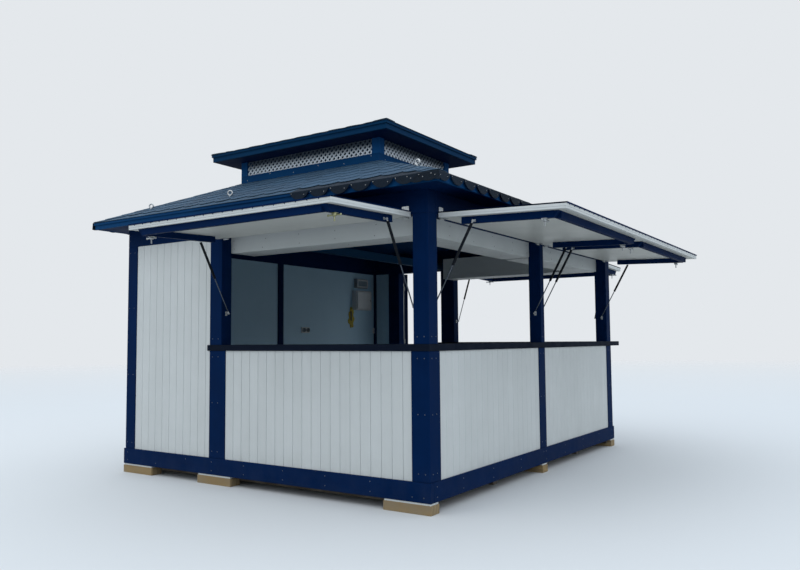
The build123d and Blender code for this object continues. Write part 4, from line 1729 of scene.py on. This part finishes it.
@dataclass
class ButtHinge:
    """A butt hinge in two halves, its axis on X."""

    knuckle_r: float = 0.006
    knuckle_w: float = 0.022
    end_knuckle: float = 0.018
    knuckle_gap: float = 0.001
    pin_r: float = 0.003
    sheet: float = 0.003
    reach: float = 0.046
    wide: float = 0.062
    head_r: float = 0.0042
    head_spots: Row = (-0.02, 0.0, 0.02)

    def leaf(self, low: Point, high: Point, axis: Grain) -> Piece:
        """A hinge plate with rounded corners."""
        return plate("hinge_plate", low, high, axis, 0.005, 3)

    def fixed(self, wall: float, side: int, reach: float) -> Piece:
        """Fixed half: plate on the face, end knuckles and pin.

        Args:
            wall: Distance from the face to the axis.
            side: 1 where the plate lies over the axis, -1 where it lies under it.
            reach: Distance from the axis to the far edge of the plate.

        Returns:
            The hinge half.
        """
        half, half_w = self.knuckle_w / 2 + self.knuckle_gap, self.wide / 2
        end, top = half + self.end_knuckle, self.sheet - wall
        start, head_z = side * (self.knuckle_r + 0.001), side * (reach - 0.012)
        parts = [
            self.leaf((-half_w, -wall, start), (half_w, top, side * reach), Grain.Y),
            rod("pin", (-end, 0, 0), (end, 0, 0), self.pin_r, 16),
        ]
        for x in (-end, half):
            x1 = x + self.end_knuckle
            parts.append(rod("knuckle", (x, 0, 0), (x1, 0, 0), self.knuckle_r, 20, 0.0006))
            parts.append(block("web", (x, -wall, start), (x1, top, 0.0), 0.0005, 1))
        for x in self.head_spots:
            ends = (x, top - 0.0005, head_z), (x, top + 0.0012, head_z)
            parts.append(rod("head", *ends, self.head_r, 12, 0.0008))
        return join("fixed_half", parts)

    def moving(self, lift: float) -> Piece:
        """Moving half: knuckle and plate under a leaf.

        Args:
            lift: Distance from the axis to the leaf.

        Returns:
            The hinge half.
        """
        half, base, y = self.knuckle_w / 2, lift - self.sheet, self.reach - 0.011
        parts = [
            rod("knuckle", (-half, 0, 0), (half, 0, 0), self.knuckle_r, 20, 0.0006),
            block("web", (-half, 0.0005, base), (half, 0.012, lift), 0.0004, 1),
            block("web", (-half, 0.0015, 0.0), (half, self.knuckle_r - 0.0005, lift - 0.001), 0.0004, 1),
            self.leaf((-self.wide / 2, 0.01, base), (self.wide / 2, self.reach, lift), Grain.Z),
        ]
        for x in self.head_spots:
            parts.append(rod("head", (x, y, base + 0.0005), (x, y, base - 0.0012), self.head_r, 12, 0.0008))
        return join("moving_half", parts)


HINGE = ButtHinge()


@dataclass
class ServingHatch:
    """A raised hatch: sandwich panel with white lip, matched boards on top, battens, latches, hinges, struts.

    It is drawn shut to the hinge axis: X along the hinge, Y outward, Z up.
    """

    short: str
    x0: float
    x1: float
    in0: float
    in1: float
    place: Matrix
    length: float
    grain: Grain
    tilt: float = 1.9
    gap: float = 0.008
    body_t: float = 0.036
    cover_t: float = 0.01
    cover_lip: float = 0.005
    sheet_t: float = 0.004
    lip_w: float = 0.02
    groove: float = 0.003
    batten_w: float = 0.045
    batten_h: float = 0.05
    batten_far: float = 0.935
    batten_end_set: float = 0.02
    batten_inset: float = 0.06
    strut_out: float = 0.28
    strut_drop: float = 0.03
    strut_in: float = 0.055
    strut_foot_z: float = 1.515
    strut_off: float = 0.034
    tube_start: float = 0.018
    tube_len: float = 0.345
    tube_r: float = 0.011
    rod_r: float = 0.005
    engaged: float = 0.01
    latch_back: float = 0.11
    hinge_inset: float = 0.06
    hinge_reach: float = 0.092

    def __post_init__(self) -> None:
        """Work out the strut's ends and what several pieces share from the named sizes."""
        c, s = math.cos(math.radians(self.tilt)), math.sin(math.radians(self.tilt))
        self.body = self.short + "_hatch"
        self.leaf = self.place @ turned(-self.tilt, "X")
        self.under = self.gap - self.batten_h
        self.far = min(self.batten_far, self.length - self.batten_end_set)
        self.hinge_x = (self.in0 + self.hinge_inset, self.in1 - self.hinge_inset)
        self.strut_x = ((self.in0 + self.strut_off, -1), (self.in1 - self.strut_off, 1))
        self.top = (self.strut_out * c - self.strut_drop * s, -self.strut_out * s - self.strut_drop * c)
        self.foot = (-self.strut_in - PLAN.hinge_out, self.strut_foot_z - PLAN.hatch_axis)
        run = (self.top[0] - self.foot[0], self.top[1] - self.foot[1])
        self.strut_len, self.strut_angle = math.hypot(*run), math.atan2(*run)
        self.along, self.outward = (navy_x, navy_y) if self.grain == Grain.X else (navy_y, navy_x)
        self.white = white_x if self.grain == Grain.X else white_y

    def build(self) -> None:
        """Make every piece of the hatch."""
        self.panel()
        self.cover()
        self.battens()
        self.latches()
        self.hinge_leaves()
        self.struts()

    def deliver(self, name: str, parts: list[Piece], slot: str, replaced: str) -> None:
        """Join pieces of the leaf and let them ride on it.

        Args:
            name: End of the piece's name.
            parts: The painted parts, as drawn shut.
            slot: Material slot of the record.
            replaced: End of the name of the node that they stand for.
        """
        hand_over(move(join(self.body + name, parts), self.leaf), self.body, slot, self.body + replaced)

    def panel(self) -> None:
        """Sheet below, core, and a grooved white lip on three edges."""
        low, high = self.gap, self.gap + self.body_t
        x0, x1, y1 = self.x0, self.x1, self.length
        in0, in1, in_y, skin = x0 + self.lip_w, x1 - self.lip_w, y1 - self.lip_w, low + self.sheet_t
        sheet = block("sheet", (in0, 0, low), (in1, in_y, skin), 0.0006, 1)
        core = block("core", (in0, 0.001, skin), (in1, in_y, high), 0)
        middle, g = low + self.body_t * 0.42, self.groove
        lips = []
        for z0, z1 in ((low, middle - 0.001), (middle + 0.001, high)):
            for a, b in (((x0, in_y), (x1, y1)), ((x0, 0), (in0, in_y)), ((in1, 0), (x1, in_y))):
                lips.append(block("lip", (*a, z0), (*b, z1), 0.0014))
        for a, b in (
            ((x0 + g, in_y), (x1 - g, y1 - g)),
            ((x0 + g, 0.001), (in0, in_y)),
            ((in1, 0.001), (x1 - g, in_y)),
        ):
            lips.append(block("lip_core", (*a, low + g), (*b, high - g), 0))
        parts = [paint(sheet, hatch_sheet), *(paint(part, self.white) for part in (core, *lips))]
        self.deliver("_board", parts, "white_paint", "_panel")

    def cover(self) -> None:
        """Matched navy boards on top, with a dark notch over the lip at each joint."""
        z0 = self.gap + self.body_t
        z1, end = z0 + self.cover_t, self.length + self.cover_lip
        size = (0, 0, z0), (PLAN.board - 0.002, end, z1)
        boards = matched("cover", size, Grain.Y, 0.0028, (self.x0, self.x1), 31)
        corners = (-0.003, self.length - 0.001, z0 - 0.007), (0.003, end - 0.001, z0 + 0.001)
        tooth = block("tooth", *corners, 0.001, 1)
        joints = range(1, math.ceil((self.x1 - self.x0) / PLAN.board))
        teeth = repeat("teeth", tooth, [shift(self.x0 + PLAN.board * i - 0.001) for i in joints])
        parts = [paint(boards, self.outward), paint(teeth, navy_up)]
        for x, inner in ((self.x0, self.x0 + 0.004), (self.x1, self.x1 - 0.004)):
            strip = block("strip", (x, 0, z0 + 0.001), (inner, end - 0.001, z1 - 0.001), 0)
            parts.append(paint(strip, self.outward))
        self.deliver("_top_boards", parts, "navy_paint", "_cover")

    def battens(self) -> None:
        """Navy battens eased from the CAD solid, its brackets in plated steel, and the screws below."""
        made = copy_node(self.body + "_frame", self.body + "_battens", 0.0015)
        made.data.materials.append(self.along.material())
        made.data.materials.append(zinc.material())
        back = self.leaf.inverted()
        b0, b1 = self.in0 + self.batten_inset, self.in1 - self.batten_inset
        for face in made.data.polygons:
            x = (back @ face.center).x
            if x < b0 - 0.0004 or x > b1 + 0.0004:
                face.material_index = 1
        hand_over(made, self.body, "navy_paint", self.body + "_frame")
        half = self.batten_w / 2
        spots = [(x, y, self.under) for x in (b0 + half, b1 - half) for y in (0.21, 0.45, 0.7)]
        spots += [(b0 + (b1 - b0) * (i + 0.5) / 5, self.far - half, self.under) for i in range(5)]
        wide = self.x1 - self.x0
        spots += [(self.x0 + wide * (i + 0.5) / 9, self.length - 0.045, self.gap) for i in range(9)]
        heads = Screws(self.body + "_batten_screws", 0.004, 0.0008)
        for spot in spots:
            heads.put(spot, (0, 0, -1), self.leaf)
        hand_over(heads.make(screw_steel), self.body, "bright_steel")

    def latches(self) -> None:
        """Toggle latches on the end battens: rounded plate, boss, cross rod with round ends, hanging grip."""
        y, under = self.far - self.latch_back, self.under
        bar_z, foot = under - 0.014, under - 0.003
        inset = self.batten_inset + self.batten_w / 2
        sets = []
        for x in (self.in0 + inset, self.in1 - inset):
            ends = ((x - 0.052, y, bar_z), (x + 0.052, y, bar_z))
            corners = (x - 0.022, y - 0.023, foot), (x + 0.022, y + 0.023, under)
            made = [
                plate("plate", *corners, Grain.Z, 0.008, 4),
                rod("boss", (x, y, foot), (x, y, under - 0.022), 0.016, 24, 0.002),
                rod("bar", *ends, 0.0052, 12),
                *(ball("ball", end, 0.0085, 14, 8) for end in ends),
                rod("grip", (x, y, under - 0.021), (x, y, under - 0.055), 0.0052, 12, 0.001),
                rod("cap", (x, y, under - 0.05), (x, y, under - 0.056), 0.0065, 14, 0.0015),
            ]
            yellow = self.short == "front" and x < 0
            sets.append(paint(join("latch", made), yellow_zinc if yellow else zinc))
        self.deliver("_latches", sets, "bright_steel", "_fittings")

    def hinge_leaves(self) -> None:
        """Moving halves of the hinges."""
        made = [move(HINGE.moving(self.gap), self.leaf @ shift(x)) for x in self.hinge_x]
        hand_over(paint(join(self.body + "_hinge_leaves", made), zinc), self.body, "bright_steel")

    def struts(self) -> None:
        """Gas struts: enamelled tubes with end rings, plated rods with eyes."""
        start, end = -self.tube_start, -self.tube_start - self.tube_len
        rod_len = self.strut_len + end + self.engaged
        turn = Matrix.Rotation(-self.strut_angle, 4, "X")
        tubes, rods = [], []
        for x, _ in self.strut_x:
            eyes = [rod("eye", (-0.004, 0, 0), (0.004, 0, 0), 0.009, 24, 0.001) for _ in range(2)]
            collar = rod("collar", (0, 0, end + 0.012), (0, 0, end + 0.006), self.tube_r + 0.0006, 28, 0.0008)
            for part in (
                paint(rod("tube", (0, 0, start), (0, 0, end), self.tube_r, 28, 0.0016), black_enamel),
                paint(collar, black_enamel),
                paint(rod("neck", (0, 0, start - 0.001), (0, 0, -0.005), 0.005, 14), zinc),
                paint(eyes[0], zinc),
            ):
                tubes.append(move(part, self.place @ shift(x, *self.top) @ turn))
            for part in (
                paint(rod("rod", (0, 0, 0.006), (0, 0, rod_len), self.rod_r, 20, 0.0008), chrome),
                paint(rod("neck", (0, 0, 0.004), (0, 0, 0.022), 0.0065, 14, 0.001), zinc),
                paint(eyes[1], zinc),
            ):
                rods.append(move(part, self.place @ shift(x, *self.foot) @ turn))
        short = self.short
        hand_over(join(short + "_gas_tubes", tubes), short + "_tubes", "black_steel", short + "_strut_tubes")
        hand_over(join(short + "_gas_rods", rods), short + "_rods", "bright_steel", short + "_strut_rods")

    def feet(self) -> list[Piece]:
        """Brackets on the posts that hold the lower ends: a rounded plate, a stud and two screws.

        Returns:
            The parts of both brackets.
        """
        y, z = self.foot
        parts = []
        for x, side in self.strut_x:
            face = self.in0 if side < 0 else self.in1
            corners = (face, y - 0.012, z - 0.019), (face - side * 0.003, y + 0.012, z + 0.019)
            parts.append(plate("foot_plate", *corners, Grain.X, 0.006, 4))
            ends = (face - side * 0.002, y, z), (x + side * 0.006, y, z)
            parts.append(rod("stud", *ends, 0.0065, 16, 0.001))
            for up in (z - 0.0135, z + 0.0135):
                ends = (face - side * 0.0025, y, up), (face - side * 0.0045, y, up)
                parts.append(rod("head", *ends, 0.0034, 12, 0.0008))
        return [move(part, self.place) for part in parts]

    def fixed_halves(self) -> list[Piece]:
        """Fixed halves of the two hinges, in place."""
        halves = [HINGE.fixed(PLAN.hinge_out, 1, self.hinge_reach) for _ in self.hinge_x]
        return [move(half, self.place @ shift(x)) for half, x in zip(halves, self.hinge_x)]


@dataclass
class DoorLeaf:
    """The leaf: stiles, rails and matched boards, drawn shut and turned out to rest."""

    leaf_t: float = 0.04
    leaf_set: float = 0.004
    open_deg: float = 135.0
    leaf_gap: float = 0.006
    stile: float = 0.085
    rail: float = 0.12
    hinge_gap: float = 0.007
    lock_gap: float = 0.008
    foot_gap: float = 0.008
    board_lap: float = 0.05
    knob_in: float = 0.08
    knob_up: float = 1.0
    heights: Row = (0.5, 1.25, 2.0)

    def __post_init__(self) -> None:
        """Work out the hinge axis and the turn from shut to rest."""
        self.left = PLAN.door_post + PLAN.door_post_w
        self.right = PLAN.back_mid - PLAN.back_mid_w
        self.axis = (self.left + self.leaf_gap, PLAN.half_d + PLAN.hinge_out)
        there = shift(*self.axis)
        self.turn = there @ turned(self.open_deg, "Z") @ there.inverted()

    def build(self) -> None:
        """Make the leaf, knobs and moving hinge halves."""
        x0, x1 = self.left + self.hinge_gap, self.right - self.lock_gap
        in0, in1 = x0 + self.stile, x1 - self.stile
        y1 = PLAN.half_d - self.leaf_set
        y0 = y1 - self.leaf_t
        z0, z1 = PLAN.sill_top + self.foot_gap, PLAN.beam_bottom - self.leaf_gap
        parts = []
        for a, b in ((x0, in0), (in1, x1)):
            parts.append(paint(block("stile", (a, y0, z0), (b, y1, z1)), navy_up))
        for z in (z0, z1 - self.rail, (z0 + z1 - self.rail) / 2):
            parts.append(paint(block("rail", (in0, y0, z), (in1, y1, z + self.rail)), navy_x))
        low, high = z0 + self.board_lap, z1 - self.board_lap
        count = math.ceil((in1 - in0) / PLAN.board)
        wide = (in1 - in0) / count
        board = block("board", (0, y1 - 0.022, low), (wide - 0.0016, y1 - 0.006, high), 0)
        chamfer(board, Grain.Z, 0.0034, only=lambda a: a.y > y1 - 0.01)
        boards = repeat("boards", board, [shift(in0 + wide * i) for i in range(count)], 12)
        sheet = block("sheet", (in0 - 0.01, y0 + 0.006, low), (in1 + 0.01, y0 + 0.012, high), 0.001)
        parts += [paint(boards, white_up), paint(sheet, lining)]
        hand_over(move(join("door_leaf_boards", parts), self.turn), "door", "navy_paint", "door_leaf")
        self.knobs(self.right - self.knob_in, y0, y1)
        self.hinges()

    def knobs(self, x: float, y0: float, y1: float) -> None:
        """Round knobs on rose plates.

        Args:
            x: Place across the leaf.
            y0: Inner face of the leaf.
            y1: Outer face of the leaf.
        """
        z = PLAN.floor_top + self.knob_up
        parts = []
        for face, out in ((y1, 1), (y0, -1)):
            parts.append(rod("rose", (x, face, z), (x, face + out * 0.005, z), 0.026, 32, 0.0015))
            parts.append(rod("neck", (x, face + out * 0.004, z), (x, face + out * 0.028, z), 0.009, 20))
            parts.append(ball("knob", (x, face + out * 0.035, z), 0.0245, 28, 14, (1, 0.6, 1)))
        knobs = move(paint(join("door_knob_pair", parts), zinc), self.turn)
        hand_over(knobs, "door", "bright_steel", "door_knobs")

    def hinges(self) -> None:
        """Moving hinge halves."""
        upright = turned(90, "Y") @ turned(90, "X")
        made = []
        for z in self.heights:
            half = HINGE.moving(PLAN.hinge_out + self.leaf_set)
            made.append(move(half, self.turn @ shift(*self.axis, z) @ upright))
        hand_over(paint(join("door_hinge_leaves", made), zinc), "door", "bright_steel", "door_hinges")

    def fixed_halves(self) -> list[Piece]:
        """Fixed hinge halves on the post."""
        places = [shift(*self.axis, z) @ turned(90, "Y") for z in self.heights]
        return [move(HINGE.fixed(PLAN.hinge_out, -1, HINGE.reach), place) for place in places]


@dataclass
class ElectricalBoxes:
    """Meter box, cabinet, sockets and a foamed cable slot on the left lining."""

    cabinet_end: float = 0.294
    cabinet_w: float = 0.352
    cabinet_z: Span = (1.691, 1.96)
    meter_z: Span = (1.998, 2.127)
    socket_z: Span = (1.367, 1.443)
    twin_socket: Span = (1.717, 1.562)
    one_socket: Span = (0.165, 0.099)
    foam_at: Span = (1.43, 1.575)
    foam_size: tuple[float, float, float] = (0.012, 0.062, 0.14)

    def build(self) -> None:
        """Make the boxes."""
        x = -PLAN.half_w + PLAN.wall_recess + PLAN.wall_t
        y1 = PLAN.half_d - self.cabinet_end
        y0 = y1 - self.cabinet_w
        low, high = self.cabinet_z
        cabinet = block("cabinet", (x, y0, low), (x + 0.072, y1, high), 0.006)
        corners = (x + 0.07, y0 + 0.014, low + 0.012), (x + 0.09, y1 - 0.014, high - 0.012)
        door = block("cabinet_door", *corners, 0.004)
        recess(door, lambda face: face.normal.x > 0.9, (0.012, 0.003), (-0.003, 0, 0))
        catch = rod("catch", (x + 0.086, y1 - 0.04, 1.825), (x + 0.093, y1 - 0.04, 1.825), 0.009, 20, 0.0015)
        parts = [paint(cabinet, pale_plastic), paint(door, pale_plastic), paint(catch, grey_plastic)]
        for name, finish, start, end, half, inset, ease, steps in (
            ("meter", grey_plastic, 0.0, 0.045, 0.1295, 0.0, 0.005, 2),
            ("meter_frame", pale_plastic, 0.043, 0.06, 0.12, 0.009, 0.004, 2),
            ("meter_glass", pane, 0.049, 0.053, 0.1, 0.029, 0.001, 1),
        ):
            y, (low, high) = (y0 + y1) / 2, self.meter_z
            corners = (x + start, y - half, low + inset), (x + end, y + half, high - inset)
            parts.append(paint(block(name, *corners, ease, steps), finish))
            if name == "meter_frame":
                recess(parts[-1], lambda face: face.normal.x > 0.9, (0.018,), (-0.01, 0, 0))
        parts += self.sockets(x, self.twin_socket, 2) + self.sockets(x, self.one_socket, 1)
        hand_over(join("wall_boxes", parts), "base", "pale_plastic", "electrical_boxes")
        self.foam_slot(x)

    def sockets(self, x: float, ends: Span, count: int) -> list[Piece]:
        """A socket plate with round sockets.

        Args:
            x: Face of the lining.
            ends: Distance of both ends from the back of the kiosk.
            count: Sockets side by side.

        Returns:
            The parts.
        """
        y0, y1 = PLAN.half_d - ends[0], PLAN.half_d - ends[1]
        low, high = self.socket_z
        z = (low + high) / 2
        rim = x + 0.029
        parts = [paint(block("plate", (x, y0, low), (x + 0.014, y1, high), 0.004), pale_plastic)]
        for i in range(count):
            y = y0 + (y1 - y0) / count * (i + 0.5)
            cup = rod("cup", (x + 0.012, y, z), (x + 0.03, y, z), 0.026, 32, 0.002)
            recess(cup, lambda face: face.normal.x > 0.9 and face.center.x > rim, (0.004,), (-0.013, 0, 0))
            parts.append(paint(cup, grey_plastic))
            for side in (y - 0.0095, y + 0.0095):
                # Painted shade: each pin hole is a thin dark disc standing for the dark inside of the hole.
                hole = rod("hole", (x + 0.0165, side, z), (x + 0.0175, side, z), 0.0026, 10)
                parts.append(paint(hole, dark_screw_and_hole_shade))
        return parts

    def foam_slot(self, x: float) -> None:
        """A lumpy patch of cured foam round a dark cable slot, on the lining at x.

        Args:
            x: Face of the lining.
        """
        draw = random.Random(41)
        centre = Vector((x, *self.foam_at))
        patch = ball("foam", centre, 1, 28, 16, self.foam_size)
        for vertex in patch.data.vertices:
            off = vertex.co - centre
            push = 1 + draw.uniform(-0.16, 0.16) + 0.25 * math.sin(off.z * 60 + off.y * 40)
            vertex.co = centre + Vector((off.x, off.y * push, off.z * (1 + (push - 1) * 0.4)))
        # Painted shade: the slot's opening is a dark block standing for the dark inside of the slot.
        slot = block("slot", (x + 0.006, 1.402, 1.54), (x + 0.0145, 1.428, 1.67), 0.003)
        piece = join("foamed_cable_slot", [paint(patch, foam), paint(slot, dark_screw_and_hole_shade)])
        hand_over(piece, "base", "pale_plastic")


@dataclass
class Studio:
    """Floor, world, lamps and the camera of the photograph."""

    eye: tuple[float, float, float] = (4.572950, -6.748687, 1.263463)
    yaw: float = 0.589488
    pitch: float = 0.067413
    roll: float = -0.007454
    focal_px: float = 741.629
    middle_px: Span = (395.963, 290.404)
    size_px: Span = (800.0, 570.0)
    sensor: float = 36.0
    floor_radius: float = 60.0
    fade_from: float = 9.0
    fade_to: float = 40.0
    sky_low: float = 0.6
    sky_high: float = 1.55
    sky_under: float = 0.45
    aim: tuple[float, float, float] = (0.0, 0.0, 1.4)

    def build(self) -> None:
        """Make everything that isn't the object."""
        bpy.context.scene.view_settings.view_transform = "Standard"
        self.floor()
        self.world()
        self.lamps()
        self.camera()

    def stand(self, name: str, data: bpy.types.ID, place: Matrix) -> Piece:
        """Put a camera or lamp in its place.

        Args:
            name: Name of the object.
            data: Its data.
            place: Its matrix.

        Returns:
            The object.
        """
        made = bpy.data.objects.new(name, data)
        made.matrix_world = place
        bpy.context.scene.collection.objects.link(made)
        return made

    def camera(self) -> None:
        """Place the camera where the photograph was taken."""
        cy, sy = math.cos(self.yaw), math.sin(self.yaw)
        cp, sp = math.cos(self.pitch), math.sin(self.pitch)
        cr, sr = math.cos(self.roll), math.sin(self.roll)
        forward, right = Vector((-sy * cp, cy * cp, sp)), Vector((cy, sy, 0))
        up = right.cross(forward)
        turn = Matrix((right * cr + up * sr, up * cr - right * sr, -forward)).transposed().to_4x4()
        data = bpy.data.cameras.new("photo_camera")
        data.sensor_width = self.sensor
        data.lens = self.focal_px / self.size_px[0] * self.sensor
        data.shift_x = (self.size_px[0] / 2 - self.middle_px[0]) / self.size_px[0]
        data.shift_y = (self.middle_px[1] - self.size_px[1] / 2) / self.size_px[0]
        data.clip_end = 200
        bpy.context.scene.camera = self.stand("photo_camera", data, Matrix.Translation(self.eye) @ turn)

    def floor(self) -> None:
        """A wide pale floor that fades into the background."""
        clear()
        bpy.ops.mesh.primitive_circle_add(vertices=96, radius=self.floor_radius, fill_type="NGON")
        ground = settle("studio_floor")
        made = bpy.data.materials.new("studio_floor")
        made.use_nodes = True
        tree = made.node_tree
        tree.nodes.clear()
        place = add(tree, "TexCoord").outputs["Object"]
        far = add(tree, "VectorMath", {0: place}, operation="LENGTH").outputs["Value"]
        fade = add(tree, "MapRange", {0: far, 1: self.fade_from, 2: self.fade_to}).outputs[0]
        seen = add(tree, "LightPath").outputs["Is Camera Ray"]
        tones = {0: seen, 6: linear("B9BBBA"), 7: linear("D9DCDE")}
        tone = add(tree, "Mix", tones, data_type="RGBA").outputs[2]
        matt = add(tree, "BsdfDiffuse", {"Color": tone}).outputs[0]
        both = add(tree, "MixShader", {0: fade, 1: matt, 2: add(tree, "BsdfTransparent").outputs[0]})
        add(tree, "OutputMaterial", {"Surface": both.outputs[0]})
        ground.data.materials.append(made)

    def world(self) -> None:
        """Soft light from all round, and a pale background for the camera and for rays through glass."""
        world = bpy.data.worlds.new("studio")
        bpy.context.scene.world = world
        world.use_nodes = True
        tree = world.node_tree
        tree.nodes.clear()
        path = add(tree, "LightPath").outputs
        rays = {0: path["Is Camera Ray"], 1: path["Is Transmission Ray"]}
        seen = add(tree, "Math", rays, operation="MAXIMUM").outputs[0]
        toward = add(tree, "TexCoord").outputs["Generated"]
        up = add(tree, "SeparateXYZ", {0: toward}).outputs[2]
        sky = add(tree, "MapRange", {0: up, 1: 0.0, 2: 0.9, 3: self.sky_low, 4: self.sky_high}).outputs[0]
        over = add(tree, "MapRange", {0: up, 1: -0.03, 2: 0.03, 3: self.sky_under}).outputs[0]
        level = add(tree, "Math", {0: sky, 1: over}, operation="MULTIPLY").outputs[0]
        soft = add(tree, "Background", {"Color": linear("E4ECF4"), "Strength": level}).outputs[0]
        pale = add(tree, "Background", {"Color": linear("E4E8EC"), "Strength": 1.0}).outputs[0]
        add(tree, "OutputWorld", {"Surface": add(tree, "MixShader", {0: seen, 1: soft, 2: pale}).outputs[0]})

    def lamps(self) -> None:
        """A large soft key from the front left and a weaker fill from the right."""
        for name, place, size, power, colour in (
            ("key_lamp", (-5.0, -9.0, 8.0), 8.0, 130.0, "FFF9F0"),
            ("fill_lamp", (10.0, -5.0, 7.0), 7.0, 120.0, "F2F6FF"),
        ):
            data = bpy.data.lights.new(name, "AREA")
            data.shape = "DISK"
            data.size = size
            data.energy = power
            data.color = linear(colour)[:3]
            aim = (Vector(self.aim) - Vector(place)).to_track_quat("-Z", "Y")
            self.stand(name, data, Matrix.Translation(place) @ aim.to_matrix().to_4x4())


def hatches() -> list[ServingHatch]:
    """The four hatches with their places, worked out as the frame's posts give them.

    Returns:
        The front, right near, right far and back hatch.
    """
    out, z = PLAN.hinge_out, PLAN.hatch_axis
    w, d, half = PLAN.half_w, PLAN.half_d, PLAN.mid_post_w / 2
    near_x, near_in, front_mid = w - PLAN.post_w, d - PLAN.post_w, PLAN.front_mid + PLAN.mid_post_w
    past, end, split, lap = 0.03, 0.008, 0.004, 0.074
    upper, back_mid = PLAN.upper_mid_w - half, PLAN.back_mid
    front = shift(0, -d - out, z) @ turned(180, "Z")
    right = shift(w + out, 0, z) @ turned(-90, "Z")
    back = shift(0, d + out, z)
    back_len = z - PLAN.counter_top - 0.005 - 0.008
    return [
        ServingHatch("front", end - near_x, past - front_mid, -near_x, -front_mid, front, 0.955, Grain.X),
        ServingHatch("right_near", split - half, near_in - end, upper, near_in, right, 1.01, Grain.Y),
        ServingHatch("right_far", -near_in - lap, -half - split, -near_in, -half, right, 1.01, Grain.Y),
        ServingHatch("back", back_mid - past, near_x - end, back_mid, near_x, back, back_len, Grain.X),
    ]


def main() -> None:
    """Build every class in order."""
    Footing().build()
    PostFrame().build()
    Walls().build()
    Counters().build()
    Headers().build()
    Roofs().build()
    feet, fixed = [], []
    for hatch in hatches():
        hatch.build()
        feet += hatch.feet()
        fixed += hatch.fixed_halves()
    hand_over(paint(join("strut_foot_brackets", feet), zinc), "base", "bright_steel", "strut_feet")
    door = DoorLeaf()
    door.build()
    fixed += door.fixed_halves()
    hand_over(paint(join("fixed_hinge_halves", fixed), zinc), "base", "bright_steel", "hinge_halves")
    ElectricalBoxes().build()
    Studio().build()


if __name__ == "__main__":
    main()
